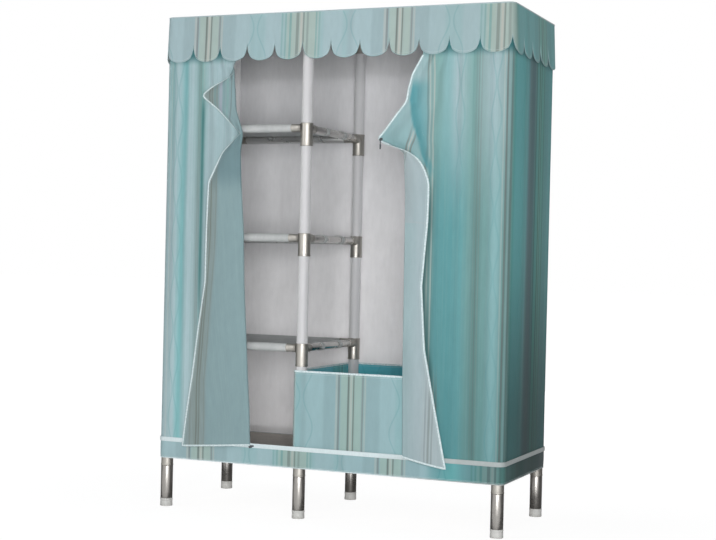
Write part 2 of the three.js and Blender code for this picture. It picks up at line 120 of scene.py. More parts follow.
# Points along and down each cloth
grids = {"roof": (260, 26), "skirt": (520, 14), "side": (150, 90), "back": (160, 70), "floor": (160, 70)}
lobe_steps, valance_rows, valance_back_steps = 14, 22, 40
curtain_rows, curtain_top_rows = 190, 8
pleat_steps, loose_steps, lapel_steps = 61, 44, 26

# Angles in degrees from which an edge looks sharp
tube_angle, cloth_angle, zip_angle = 35, 60, 30


# Colours as they show, in sRGB
def tone(red, green, blue):
    def linear(value):
        share = value / 255
        return share / 12.92 if share <= 0.04045 else ((share + 0.055) / 1.055) ** 2.4
    return (linear(red), linear(green), linear(blue), 1.0)


white = (1, 1, 1, 1)
pale = tone(163, 186, 191)
aqua = tone(155, 183, 187)
mist = tone(154, 176, 181)
haze = tone(146, 170, 172)
teal = tone(126, 178, 181)
sea = tone(134, 174, 177)
deep_teal = tone(100, 156, 160)
lagoon = tone(92, 148, 152)
green = tone(165, 183, 178)
sage = tone(127, 165, 163)
fern = tone(110, 150, 149)
moss = tone(98, 134, 132)
dusk = tone(98, 140, 140)
cream = tone(186, 187, 181)
brown = tone(118, 127, 124)
umber = tone(96, 100, 98)
violet = tone(156, 162, 176)
mauve = tone(134, 143, 145)
lilac = tone(160, 177, 182)
# A darker copy of the haze: painted shade on the left lapel's reverse
painted_shade_haze = tone(133, 158, 162)
thread_tone = tone(196, 210, 212)
# Painted shade for the cloth behind the valance
valance_shadow_tone = tone(46, 108, 112)
# Painted shadow at the right lapel's edge
lapel_shadow_tone = tone(60, 100, 100)


def link(name, data):
    made = bpy.data.objects.new(name, data)
    bpy.context.scene.collection.objects.link(made)
    return made


class Shape:
    """Gathers vertices, faces and UVs, and then becomes an object."""
    layer_names = ("print", "edge", "mark", "crease")

    def __init__(self):
        self.points = []
        self.faces = []
        self.sides = []
        self.layers = {name: [] for name in self.layer_names}
        self.used = set()

    def add(self, points, faces, layers=None):
        """Adds points and faces. layers holds UVs by name, one pair for each point."""
        start = len(self.points)
        points = np.asarray(points, float).reshape(-1, 3)
        layers = layers or {}
        self.points.extend(points.tolist())
        self.faces.extend((np.asarray(faces) + start).tolist())
        self.sides.extend([0] * len(faces))
        self.used.update(layers)
        blank = np.ones((len(points), 2))
        for name in self.layer_names:
            self.layers[name].extend(layers.get(name, blank).reshape(-1, 2).tolist())

    def build(self, name, materials, sharp):
        mesh = bpy.data.meshes.new(name)
        mesh.from_pydata(self.points, [], self.faces)
        corners = np.zeros(len(mesh.loops), int)
        mesh.loops.foreach_get("vertex_index", corners)
        for layer_name in self.layer_names:
            if layer_name in self.used:
                layer = mesh.uv_layers.new(name=layer_name)
                layer.data.foreach_set("uv", np.array(self.layers[layer_name])[corners].ravel())
        for material in materials:
            mesh.materials.append(material)
        mesh.polygons.foreach_set("material_index", self.sides)
        mesh.shade_smooth()
        mesh.set_sharp_from_angle(angle=math.radians(sharp))
        mesh.update()
        return link(name, mesh)


def quads(rows, columns, wrap=False):
    """Faces of a grid of points, looking along (across x up) where the rows run downwards."""
    down, along = np.indices((rows - 1, columns if wrap else columns - 1))
    after = (along + 1) % columns
    corners = [down * columns + along, (down + 1) * columns + along,
               (down + 1) * columns + after, down * columns + after]
    return np.stack([corner.ravel() for corner in corners], axis=1)


def unit(vectors):
    return vectors / np.maximum(np.linalg.norm(vectors, axis=-1, keepdims=True), 1e-12)


def grid_normals(points):
    return unit(np.cross(np.gradient(points, axis=1), -np.gradient(points, axis=0)))


def pair(first, second):
    """Two values at each point of a grid, for a UV layer."""
    return np.stack(np.broadcast_arrays(first, second), axis=2)


def distances(path):
    """Running length at each point of a path."""
    return np.concatenate([[0], np.cumsum(np.linalg.norm(np.diff(path, axis=0), axis=1))])


def add_sheet(shape, points, layers, thick=cloth_thick, reverse=1):
    """A cloth of real thickness round a grid of points on its middle surface. layers holds UV
    grids, and reverse is the place in the list of materials for its other side."""
    normal = grid_normals(points) * thick / 2
    faces = quads(*points.shape[:2])
    count = points.shape[0] * points.shape[1]
    index = np.arange(count).reshape(points.shape[:2])
    rim = np.concatenate([index[:, 0], index[-1, 1:], index[-2::-1, -1], index[0, -2:0:-1]])
    after = np.roll(rim, -1)
    band = np.stack([rim, rim + count, after + count, after], axis=1)
    twice = {name: np.concatenate([grid, grid]) for name, grid in layers.items()}
    start = len(shape.faces) + len(faces)
    shape.add(np.concatenate([points + normal, points - normal]),
              np.concatenate([faces, faces[:, ::-1] + count, band]), twice)
    shape.sides[start:start + len(faces)] = [reverse] * len(faces)


def add_turned(shape, profile, place, sides=32):
    """A profile of (radius, height) points turned about an axis. place moves it from +Z."""
    angles = np.arange(sides) * whole_turn / sides
    profile = np.asarray(profile, float)
    ring = np.stack([np.cos(angles), np.sin(angles)], axis=1)
    points = np.zeros((len(profile), sides, 3))
    points[:, :, :2] = profile[:, None, :1] * ring
    points[:, :, 2] = profile[:, 1:]
    points = points.reshape(-1, 3) @ np.array(place.to_3x3()).T + np.array(place.translation)
    shape.add(points, quads(len(profile), sides, wrap=True)[:, ::-1])


def rounded(radius, start, end, bevel, inner=None):
    """Profile of a tube's wall from start to end with rounded rims, closed through its bore."""
    inner = radius * bore_share if inner is None else inner
    outline = []
    for centre, low in ((start + bevel, -quarter), (end - bevel, 0.0)):
        for step in range(rim_steps + 1):
            angle = low + quarter * step / rim_steps
            outline.append((radius - bevel + bevel * math.cos(angle), centre + bevel * math.sin(angle)))
    return [(inner, start), *outline, (inner, end), (inner, start)]


along_x = Matrix.Rotation(quarter, 4, "Y")
along_y = Matrix.Rotation(-quarter, 4, "X")
along_z = Matrix.Identity(4)


def at(x, y, z, turn=along_z):
    return Matrix.Translation((x, y, z)) @ turn


def directions(path, closed):
    """Unit vectors along a path."""
    ahead = np.roll(path, -1, axis=0) - np.roll(path, 1, axis=0)
    if not closed:
        ahead[0], ahead[-1] = path[1] - path[0], path[-1] - path[-2]
    return unit(ahead)


def add_rings(shape, rings, closed):
    """A tube through rings of points, which is closed to a loop or has flat ends."""
    if closed:
        rings = np.concatenate([rings, rings[:1]])
    sides = rings.shape[1]
    shape.add(rings, quads(len(rings), sides, wrap=True))
    if not closed:
        end = np.arange(sides)
        shape.add(rings[0], [end])
        shape.add(rings[-1], [end[::-1]])


def add_cord(shape, path, radius, sides, closed=False):
    """A round cord of cloth along a path that starts level."""
    angles = (np.arange(sides) * whole_turn / sides)[:, None]
    ahead = directions(path, closed)
    up = np.cross(ahead[0], (0.0, 0.0, 1.0))
    rings = []
    for point, direction in zip(path, ahead):
        up = up - direction * np.dot(up, direction)
        up /= np.linalg.norm(up)
        out = np.cross(direction, up)
        rings.append(point + radius * (np.cos(angles) * up + np.sin(angles) * out))
    add_rings(shape, np.array(rings), closed)


def add_binding(shape, path, outs, half_wide, half_thick, closed=False):
    """Folded tape along a cloth's edge: an oval tube, flat on the cloth, whose normals are outs."""
    angles = (np.arange(binding_sides) * whole_turn / binding_sides)[None, :, None]
    ahead = directions(path, closed)
    outs = unit(outs - ahead * np.sum(outs * ahead, axis=1, keepdims=True))
    wide = np.cross(ahead, outs)
    thick_part = half_thick * np.cos(angles) * outs[:, None]
    wide_part = half_wide * np.sin(angles) * wide[:, None]
    add_rings(shape, path[:, None] + thick_part + wide_part, closed)


# Materials
class Graph:
    """A material's or world's node tree, with short calls for the nodes that are used here."""

    def __init__(self, name, kind="materials"):
        self.owner = getattr(bpy.data, kind).new(name)
        self.owner.use_nodes = True
        self.tree = self.owner.node_tree
        self.shader = self.tree.nodes.get("Principled BSDF")

    def feed(self, socket, value):
        if isinstance(value, bpy.types.NodeSocket):
            self.tree.links.new(value, socket)
        else:
            socket.default_value = value

    def node(self, kind, inputs=None, **settings):
        made = self.tree.nodes.new(f"ShaderNode{kind}")
        for key, value in settings.items():
            setattr(made, key, value)
        for key, value in (inputs or {}).items():
            self.feed(made.inputs[key], value)
        return made

    def math(self, operation, *values, clamp=False):
        made = self.node("Math", operation=operation, use_clamp=clamp)
        for socket, value in zip(made.inputs, values):
            self.feed(socket, value)
        return made.outputs[0]

    def plus(self, first, second):
        return self.math("ADD", first, second)

    def minus(self, first, second):
        return self.math("SUBTRACT", first, second)

    def times(self, first, second):
        return self.math("MULTIPLY", first, second)

    def away_from(self, value, centre):
        return self.math("ABSOLUTE", self.minus(value, centre))

    def mix(self, factor, low, high, blend="MIX"):
        made = self.node("Mix", data_type="RGBA", blend_type=blend)
        for index, value in ((0, factor), (6, low), (7, high)):
            self.feed(made.inputs[index], value)
        return made.outputs[2]

    def tint(self, color, shade):
        return self.mix(1.0, color, shade, "MULTIPLY")

    def darken(self, color, level):
        return self.tint(color, self.node("CombineColor", {0: level, 1: level, 2: level}).outputs[0])

    def between(self, value, low, high, to_low=0.0, to_high=1.0, smooth=True):
        made = self.node("MapRange", {"Value": value, "From Min": low, "From Max": high,
                                      "To Min": to_low, "To Max": to_high})
        made.interpolation_type = "SMOOTHSTEP" if smooth else "LINEAR"
        return made.outputs[0]

    def ramp(self, factor, stops, smooth=False):
        made = self.node("ValToRGB", {0: factor})
        ramp = made.color_ramp
        ramp.interpolation = "EASE" if smooth else "LINEAR"
        while len(ramp.elements) > 1:
            ramp.elements.remove(ramp.elements[-1])
        ramp.elements[0].position, ramp.elements[0].color = stops[0]
        for place, color in stops[1:]:
            ramp.elements.new(place).color = color
        return made.outputs

    def noise(self, vector, scale, detail, roughness, stretch=None, distortion=0.0):
        if stretch is not None:
            vector = self.node("Mapping", {"Vector": vector, "Scale": stretch}).outputs[0]
        made = self.node("TexNoise", {"Vector": vector, "Scale": scale, "Detail": detail,
                                      "Roughness": roughness, "Distortion": distortion})
        return made.outputs[0]

    def bump(self, height, distance, strength, normal=None):
        made = self.node("Bump", {"Height": height, "Distance": distance, "Strength": strength})
        if normal is not None:
            self.feed(made.inputs["Normal"], normal)
        return made.outputs[0]

    def place(self):
        """The place in the object's space, and its x, y and z."""
        place = self.node("TexCoord").outputs["Object"]
        return place, *self.node("SeparateXYZ", {0: place}).outputs

    def uv(self, layer):
        place = self.node("UVMap", uv_map=layer).outputs[0]
        return self.node("SeparateXYZ", {0: place}).outputs[:2]

    def upright(self, u, v):
        """A vector with u across and v up."""
        return self.node("CombineXYZ", {0: u, 2: v}).outputs[0]

    def show(self, share, first, second, output="Material Output"):
        """Gives the output a mix of two shaders."""
        mixed = self.node("MixShader", {0: share, 1: first, 2: second}).outputs[0]
        self.feed(self.tree.nodes[output].inputs[0], mixed)

    def finish(self, color, rough, normal=None, **sockets):
        """Feeds the shader's sockets. The others are named in small letters with underscores."""
        self.feed(self.shader.inputs["Base Color"], color)
        self.feed(self.shader.inputs["Roughness"], rough)
        if normal is not None:
            self.feed(self.shader.inputs["Normal"], normal)
        for key, value in sockets.items():
            name = key.replace("_", " ").title().replace("Ior", "IOR")
            self.shader.inputs[name].default_value = value
        return self.owner


# The printed stripes. Tables of lines and bands are in mm. A line is: place of its middle,
# width, colour, strength. A band is: place, colour
stripe_repeat = 701
thin_lines = [
    (11, 5, cream, 0.55), (20, 7, mauve, 0.95), (36, 21, green, 0.75), (54.5, 5, brown, 1.0),
    (64, 6.5, cream, 0.8), (72.5, 5, brown, 0.9), (89, 21, green, 0.75), (105, 6, mauve, 0.85),
    (114, 5, cream, 0.45), (342, 4, sage, 0.7), (354, 4, sage, 0.75), (372, 6, sage, 0.9),
    (398, 10, brown, 0.65), (412, 7, cream, 0.85), (421, 4, brown, 0.7), (435, 6, brown, 0.45),
    (454, 5, green, 0.7), (467, 4, sage, 0.75), (479, 4, sage, 0.75),
]
ground_bands = [
    (0, mist), (9, mist), (20, aqua), (36, green), (90, green), (124, mist), (160, mist), (172, pale),
    (215, pale), (228, aqua), (270, aqua), (288, pale), (332, pale), (344, aqua), (372, green),
    (420, green), (460, green), (488, aqua), (500, pale), (555, pale), (570, aqua), (592, mist),
    (610, pale), (660, pale), (672, mist), (701, mist),
]
stripe_edge = 1.2
lines_in_ramp = 7
wave_length = 206 * mm
dot_pitch = 2.4 * mm
stitch_row = 6.5 * mm
stitch_pitch = 4.2 * mm
smooth_tape = {"stitches": False, "wrinkle": 0.2}


def line_stops(lines, lead, length):
    """Ramp stops that rise from clear to each line's strength and fall again."""
    stops = []
    for place, width, color, strength in lines:
        half = width / 2
        for offset, alpha in ((-half - stripe_edge, 0), (-half, strength),
                              (half, strength), (half + stripe_edge, 0)):
            where = (place + lead + offset) / length
            where = max(where, stops[-1][0] + 1e-4) if stops else max(where, 0)
            stops.append((where, (*color[:3], alpha)))
    return stops


def ruler(graph, value, lead, length):
    """Share of a length along a value that starts at -lead, with both of them, in mm."""
    return graph.math("DIVIDE", graph.plus(value, lead * mm), length * mm, clamp=True), lead, length


def lay_lines(graph, color, ruled, lines, strength=1.0):
    factor, lead, length = ruled
    for start in range(0, len(lines), lines_in_ramp):
        stops = line_stops(lines[start:start + lines_in_ramp], lead, length)
        line_color, alpha = graph.ramp(factor, stops)
        color = graph.mix(graph.times(alpha, strength), color, line_color)
    return color


def lay_bands(graph, ruled, bands):
    factor, lead, length = ruled
    stops = [((place + lead) / length, (*color[:3], 1.0)) for place, color in bands]
    return graph.ramp(factor, stops, smooth=True)[0]


def lay_waves(graph, color, u, v, middles, neck, reach, strength):
    """Pairs of faint wavy lines that mirror each other about each middle."""
    swing = graph.times(graph.math("COSINE", graph.times(v, whole_turn / wave_length)), -reach * mm)
    edge = graph.plus(swing, neck * mm)
    nearest, *others = [graph.away_from(graph.away_from(u, middle * mm), edge) for middle in middles]
    for other in others:
        nearest = graph.math("MINIMUM", nearest, other)
    return graph.mix(graph.between(nearest, 1.0 * mm, 3.8 * mm, strength, 0.0), color, deep_teal)


def stripe_print(graph, u, v, start):
    """The cover's print: soft bands, thin lines and pairs of faint waves."""
    factor = graph.math("FRACT", graph.math("DIVIDE", graph.minus(u, start), stripe_repeat * mm))
    ruled = (factor, 0, stripe_repeat)
    color = lay_lines(graph, lay_bands(graph, ruled, ground_bands), ruled, thin_lines)
    return lay_waves(graph, color, graph.times(factor, stripe_repeat * mm), v, (242, 585), 24, 17, 0.28)


def cloth_surface(graph, color, sheen=0.15, wrinkle=1.0, stitches=True, through=0.0):
    """Non-woven cloth: embossed dots, fine fibres, slow wrinkles and a stitched line at its edges.
    through is the share of light that a thin cloth lets pass."""
    u, v = graph.uv("print")
    place, *_ = graph.place()
    across, up = (graph.math("SINE", graph.times(value, whole_turn / dot_pitch)) for value in (u, v))
    fibre = graph.noise(place, 900.0, 3.0, 0.6, (1.0, 1.0, 0.35))
    crease = graph.noise(place, 26.0, 4.0, 0.55, (1.0, 1.0, 0.3), 0.4)
    cloud = graph.noise(place, 60.0, 5.0, 0.65, (1.0, 1.0, 0.25))
    normal = graph.bump(graph.times(across, up), 0.12 * mm, 0.5)
    normal = graph.bump(fibre, 0.12 * mm, 0.6, normal)
    normal = graph.bump(crease, 2.2 * mm * wrinkle, 0.35, normal)
    color = graph.darken(color, graph.between(cloud, 0.3, 0.7, 0.955, 1.03, smooth=False))
    if stitches:
        along, away = graph.uv("edge")
        row = graph.between(graph.away_from(away, stitch_row), 0.35 * mm, 0.75 * mm, 1.0, 0.0)
        beat = graph.math("FRACT", graph.math("DIVIDE", along, stitch_pitch))
        thread = graph.times(row, graph.between(graph.away_from(beat, 0.5), 0.3, 0.38, 1.0, 0.0))
        color = graph.mix(graph.times(thread, 0.7), color, thread_tone)
        normal = graph.bump(graph.minus(thread, graph.times(row, 0.6)), 0.5 * mm, 0.8, normal)
    if through:
        passing = graph.node("BsdfTranslucent", {0: color}).outputs[0]
        graph.show(through, graph.shader.outputs[0], passing)
    rough = graph.between(fibre, 0.2, 0.8, 0.78, 0.94, smooth=False)
    return graph.finish(color, rough, normal, sheen_weight=sheen, sheen_roughness=0.5,
                        specular_ior_level=0.25)


def painted_valance_shade(graph, color, v):
    """Painted shade on the curtains and sides where the valance hangs in front of them."""
    amount = graph.between(v, hem_height - 14 * mm, hem_height + 26 * mm, 0.0, 0.92)
    return graph.mix(amount, color, valance_shadow_tone)


def streaks(graph, color, u, v, other, strength):
    """Fine upright streaks where the cloth gathers."""
    streak = graph.noise(graph.upright(graph.times(u, 60.0), graph.times(v, 0.5)), 3.0, 3.0, 0.6)
    return graph.mix(graph.between(streak, 0.42, 0.75, 0.0, strength), color, other)


def mark_lines(graph, color, lines, fade=1.0):
    """Lines at places along the mark layer, as strong as its second value."""
    place, strength = graph.uv("mark")
    return lay_lines(graph, color, ruler(graph, place, 150, 300), lines, graph.times(strength, fade))


def printed_cloth(name, start, painted_light_tints, painted_low_shade=None, shade_under_valance=False, sheen=0.15):
    """The cover's print, with painted light and shade from tints along its length, painted shade towards
    the floor, and the valance's painted shade where that is asked for.
    """
    graph = Graph(name)
    u, v = graph.uv("print")
    color = stripe_print(graph, u, v, start)
    # Painted light and shade by the place along the cloth
    shade = lay_bands(graph, ruler(graph, u, 1200, 2400), painted_light_tints)
    # Painted shade towards the floor
    if painted_low_shade is not None:
        shade = graph.tint(shade, graph.mix(graph.between(v, 0.3, 1.1), (*painted_low_shade, 1.0), white))
    color = graph.tint(color, shade)
    # Painted shade under the valance
    if shade_under_valance:
        color = painted_valance_shade(graph, color, v)
    return cloth_surface(graph, color, sheen)


def banded_cloth(name, top_print_and_fold_shade, low_print_and_fold_shade, lines, waves, foot_painted_light, crease_painted_shade, flap_lines=()):
    """Curtain cloth, whose bands are the print's colours with the painted shade and light of the folds
    where they gather: one set near the top, one lower down. On top come painted shade in the crease, a
    painted shadow at the lapel's edge, painted shade under the valance and a painted light level towards
    the foot.
    """
    graph = Graph(name)
    u, v = graph.uv("print")
    wander = graph.noise(graph.upright(graph.times(u, 3.0), v), 2.2, 1.0, 0.5)
    moved = graph.plus(u, graph.times(graph.minus(wander, 0.5), 8 * mm))
    ruled = ruler(graph, moved, 30, 400)
    low, top = (lay_bands(graph, ruled, bands) for bands in (low_print_and_fold_shade, top_print_and_fold_shade))
    color = graph.mix(graph.between(v, 0.95, 1.46), low, top)
    color = lay_lines(graph, color, ruler(graph, u, 30, 400), lines)
    color = lay_waves(graph, color, u, v, waves, 9, 7, 0.3)
    color = streaks(graph, color, u, v, sage, 0.35)
    color = mark_lines(graph, color, flap_lines)
    shade, beside = graph.uv("crease")
    # Painted shade in the right curtain's crease and along the left curtain's fold
    color = graph.mix(graph.times(shade, 0.95), color, crease_painted_shade)
    # Painted shadow of the lapel on the cloth at its edge
    color = graph.mix(graph.times(beside, 0.85), color, lapel_shadow_tone)
    # Painted light level towards the foot: darker on the right curtain, lighter on the left
    foot = graph.mix(graph.between(v, 0.2, 0.95), (*foot_painted_light, 1.0), white)
    return cloth_surface(graph, painted_valance_shade(graph, graph.tint(color, foot), v))


def reverse_of(name, bands, lines, bend_shade_heights=None, high_lines=()):
    """The curtains' reverse: paler print, with its lines by the mark layer. Its fourth argument gives the
    heights (start, full, full, end) of a painted shade, between which the cloth is darkened. high_lines
    show near the top alone."""
    graph = Graph(name)
    u, v = graph.uv("print")
    place, _ = graph.uv("mark")
    color = lay_bands(graph, ruler(graph, place, 150, 300), bands)
    color = streaks(graph, color, u, v, haze, 0.3)
    if bend_shade_heights is not None:
        # Painted shade where the lapel turns
        low, low_full, high_full, high = bend_shade_heights
        inside = graph.times(graph.between(v, low, low_full), graph.between(v, high, high_full))
        color = graph.mix(inside, color, graph.tint(color, (0.68, 0.74, 0.76, 1.0)))
    color = mark_lines(graph, color, lines)
    color = mark_lines(graph, color, high_lines, graph.between(v, 1.28, 1.34))
    return cloth_surface(graph, color)


def plain_cloth(name, color, other, scale, **settings):
    graph = Graph(name)
    place, *_ = graph.place()
    cloud = graph.between(graph.noise(place, scale, 4.0, 0.6), 0.35, 0.65)
    return cloth_surface(graph, graph.mix(cloud, color, other), **settings)


def tape_cloth(name, color, right_shade_tone):
    """Binding that is greyer to the right by painted shade, and woven across."""
    graph = Graph(name)
    place, across, _, _ = graph.place()
    # Painted shade to the right
    color = graph.mix(graph.between(across, 0.15, 0.5), color, right_shade_tone)
    weave = graph.noise(place, 320.0, 3.0, 0.6, (1.0, 1.0, 0.3))
    color = graph.darken(color, graph.between(weave, 0.3, 0.7, 0.95, 1.0))
    return cloth_surface(graph, color, **smooth_tape)


def lining(name, top_shade_tone, foot_light_tone):
    """Back panel cloth with soft clouds and painted light: slowly paler from its top to its foot and to
    the right, and darker at its upper left.
    """
    graph = Graph(name)
    place, across, _, height = graph.place()
    # Painted shade at the top, painted light towards the foot
    color = graph.mix(graph.between(height, 0.7, 1.5), foot_light_tone, top_shade_tone)
    cloud = graph.between(graph.noise(place, 8.0, 4.0, 0.6), 0.35, 0.65, 0.965, 1.0)
    # Painted shade at the upper left
    lit_to_right = graph.between(across, -0.2, 0.05, 0.89, 1.0)
    lit_to_foot = graph.between(height, 0.4, 0.8, 1.0, 0.89)
    level = graph.times(cloud, graph.math("MAXIMUM", lit_to_right, lit_to_foot))
    return cloth_surface(graph, graph.darken(color, level), through=0.2)


def tube_metal(name, color, dark, rough, metallic, stretch, wear=0.5, **sockets):
    """Drawn tube: faint lengthwise lines, cloudy roughness and a few darker rubs."""
    graph = Graph(name)
    place, *_ = graph.place()
    drawn = graph.noise(place, 240.0, 3.0, 0.6, stretch)
    cloud = graph.noise(place, 18.0, 4.0, 0.6)
    rub = graph.between(graph.noise(place, 55.0, 5.0, 0.7), 0.62, 0.78, 0.0, wear)
    level = graph.between(cloud, 0.3, 0.7, rough * 0.75, rough * 1.35, smooth=False)
    return graph.finish(graph.mix(rub, color, dark), graph.plus(level, graph.times(rub, 0.2)),
                        graph.bump(drawn, 0.03 * mm, 0.5), metallic=metallic, **sockets)


def coated_tube(name, color, dark):
    return tube_metal(name, color, dark, 0.42, 0.0, (1.0, 1.0, 0.2), 0.35,
                      specular_ior_level=0.3, sheen_weight=0.6, sheen_roughness=0.6)


def moulded_plastic(name, color, other):
    """Plastic with a fine grain, scuffed towards the floor."""
    graph = Graph(name)
    place, _, _, height = graph.place()
    grain = graph.noise(place, 1400.0, 2.0, 0.6)
    spots = graph.between(graph.noise(place, 90.0, 5.0, 0.7), 0.4, 0.7)
    scuff = graph.times(graph.between(height, 14 * mm, 0.0), spots)
    return graph.finish(graph.mix(graph.times(scuff, 0.5), color, other),
                        graph.between(scuff, 0.0, 1.0, 0.45, 0.675), graph.bump(grain, 0.05 * mm, 0.6))


white_tube = coated_tube("white_coated_tube", tone(204, 204, 206), tone(190, 190, 192))
# A brighter copy of the white coat: painted light for the back left pole, which stands in shade
brightened_tube = coated_tube("lit_copy_coated_tube", tone(252, 252, 253), tone(240, 240, 241))
steel_upright = tube_metal(
    "steel_upright", tone(156, 153, 149), tone(104, 101, 98), 0.28, 0.85, (1.0, 1.0, 0.03))
steel_sleeve = tube_metal(
    "steel_sleeve", tone(166, 163, 157), tone(124, 121, 117), 0.42, 0.85, (1.0, 1.0, 0.05))
# A brighter copy of the steel: painted light for the rails and rod, which lie in shade
lit_copy_steel_rail = tube_metal(
    "lit_copy_steel_rail", tone(216, 215, 214), tone(160, 158, 156), 0.3, 0.8, (0.03, 1.0, 1.0))
steel_deep = tube_metal(
    "steel_deep", tone(192, 190, 187), tone(128, 126, 123), 0.24, 1.0, (1.0, 0.03, 1.0))
foot_plastic = moulded_plastic("foot_plastic", tone(208, 208, 205), tone(150, 146, 140))
piping_cloth = plain_cloth(
    "piping_cloth", tone(224, 236, 238), tone(192, 210, 213), 200.0, **smooth_tape)
# Painted shade on the skirt binding to the right
skirt_binding = tape_cloth("skirt_binding", tone(218, 231, 234), tone(176, 184, 184))
binding_cloth = plain_cloth(
    "roof_binding", tone(172, 188, 192), tone(164, 182, 186), 200.0, **smooth_tape)
hem_cloth = plain_cloth(
    "valance_hem_cloth", tone(158, 184, 187), tone(146, 174, 178), 200.0, **smooth_tape)
shelf_cloth = plain_cloth("shelf_cloth", tone(216, 218, 218), tone(206, 209, 209), 22.0, through=0.3)
# The lining's tones are painted shade at the top and painted light at the foot
lining_cloth = lining("grey_lining", tone(240, 240, 242), tone(254, 253, 254))
floor_cloth = plain_cloth("floor_cloth", tone(190, 180, 170), tone(180, 170, 161), 20.0)
reverse_cloth = plain_cloth("cover_reverse", tone(204, 208, 208), tone(196, 201, 202), 12.0)
zinc = tube_metal("dark_zinc", tone(84, 88, 92), tone(50, 52, 54), 0.32, 0.9, (1.0, 1.0, 1.0))

# Prints by piece, with painted light and shade in their tints: darker on the sides, to the right and
# inside the bin. Tints are given by the place round the frame in mm from the front's middle
valance_start = -523 * mm
skirt_start = -521 * mm
bin_start = 34 * mm
corner_place, back_start = 618, 1090
even = (1.0, 1.0, 1.0)
# Painted shade for the front and sides, and painted light for the skirt's ends
front_painted_shade, side_painted_shade, skirt_painted_light = (0.93, 0.93, 0.92), (0.41, 0.84, 0.81), (1.02, 1.06, 1.06)
cover_print = printed_cloth(
    "cover_print", valance_start,
    [(200, even), (420, front_painted_shade), (corner_place, front_painted_shade), (corner_place + 45, side_painted_shade),
     (back_start, side_painted_shade), (back_start + 60, even)],
)
# Painted shade on the skirt, darker to the right and on its side
skirt_print = printed_cloth(
    "skirt_print", skirt_start,
    [(-1200, skirt_painted_light), (-250, (0.94, 1.0, 1.0)), (-100, (0.84, 0.92, 0.92)),
     (355, (0.83, 0.93, 0.94)), (395, (0.46, 0.72, 0.73)), (455, (0.37, 0.76, 0.75)),
     (515, (0.35, 0.55, 0.55)), (590, (0.38, 0.52, 0.55)), (625, (0.2, 0.4, 0.4)),
     (660, (0.09, 0.23, 0.22)), (720, (0.02, 0.14, 0.12)), (790, (0.01, 0.09, 0.08)),
     (950, (0.02, 0.1, 0.1)), (back_start, (0.12, 0.15, 0.15)), (back_start + 60, skirt_painted_light)],
    sheen=0.1,
)
# Painted shade on the bin, deeper on its inside
bin_print = printed_cloth("bin_print", bin_start, [(0, (0.84, 0.94, 0.94))])
bin_inside = printed_cloth("bin_inside", bin_start, [(0, (0.34, 1.04, 1.16))])
# Painted shade on the right side, with a darker band at its middle and towards the floor
side_print = printed_cloth(
    "side_print", valance_start,
    [(640, (0.33, 0.88, 0.86)), (780, (0.3, 0.81, 0.79)), (835, (0.22, 0.36, 0.38)),
     (870, (0.22, 0.36, 0.38)), (915, (0.25, 0.66, 0.64)), (1100, (0.27, 0.72, 0.7))],
    (0.09, 0.27, 0.27), shade_under_valance=True, sheen=0.1,
)
# Painted shade on the left side
left_side_print = printed_cloth("left_side_print", valance_start, [(0, (0.85, 0.97, 0.97))], shade_under_valance=True)
# The curtains' bands are the print's colours with painted shade in the folds' valleys and painted light
# on their ridges
right_front = banded_cloth(
    "right_curtain_print",
    [(-30, fern), (0, haze), (35, pale), (65, haze), (100, sage), (155, pale), (190, sea),
     (225, sage), (280, aqua)],
    [(-15, moss), (20, sea), (60, fern), (80, moss), (105, fern), (140, deep_teal), (170, lagoon),
     (215, lagoon), (240, dusk), (370, lagoon)],
    [(-26, 3, umber, 0.5), (-18, 5, haze, 0.5), (-9, 4.5, umber, 0.75), (1, 3, cream, 0.3),
     (74, 3, brown, 0.35), (82, 3.5, umber, 0.35), (91, 3, brown, 0.3), (104, 3, fern, 0.4),
     (236, 4, cream, 0.55), (243, 3, brown, 0.3), (249, 4, cream, 0.5), (256, 5, brown, 0.75)],
    (24, 145), (0.74, 0.82, 0.83), tone(80, 148, 156),
    [(0, 5, brown, 0.8), (9, 5, cream, 0.7), (18, 5, brown, 0.8)],
)
left_front = banded_cloth(
    "left_curtain_print",
    [(-10, aqua), (5, sea), (30, pale), (60, teal), (80, pale), (120, sage), (150, pale),
     (370, mist)],
    [(-10, mist), (25, pale), (50, teal), (80, pale), (115, haze), (140, mist)],
    [(2, 4, cream, 0.3), (111, 4, brown, 0.3), (119, 4, brown, 0.35), (129, 3, cream, 0.2)],
    (30,), (1.12, 1.12, 1.12), tone(58, 116, 116),
)
left_reverse = reverse_of(
    "left_curtain_reverse",
    [(-150, painted_shade_haze), (-60, painted_shade_haze), (-30, tone(137, 152, 152)), (0, tone(132, 147, 144)),
     (24, tone(133, 150, 150)), (42, painted_shade_haze), (150, painted_shade_haze)],
    [(-27, 4, brown, 0.45), (-2, 5, umber, 0.5), (8, 4, umber, 0.45), (28, 4, brown, 0.35)],
    (1.08, 1.17, 1.26, 1.32),
    [(20, 6, fern, 0.5), (42, 10, violet, 0.7), (54, 5, fern, 0.4), (67, 6, sage, 0.6),
     (79, 3, umber, 0.4)],
)
right_reverse = reverse_of(
    "right_curtain_reverse",
    [(-150, lilac), (-90, tone(155, 177, 181)), (-40, lilac), (-5, tone(163, 176, 180)), (150, lilac)],
    [(-12, 4, mauve, 0.6), (0, 6, brown, 0.6), (11, 4, brown, 0.45)],
)


# Pieces
def place_piece(shape, name, materials, node, sharp=cloth_angle, body="frame"):
    """Makes a shape's object, which takes a node's place on a body."""
    piece = shape.build(name, materials, sharp)
    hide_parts(node)
    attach(piece, body)
    return piece


def place_turned(name, material, slot, node, place, *profiles, sides=40):
    shape = Shape()
    for profile in profiles:
        add_turned(shape, profile, place, sides)
    place_piece(shape, name, [material], node, tube_angle)


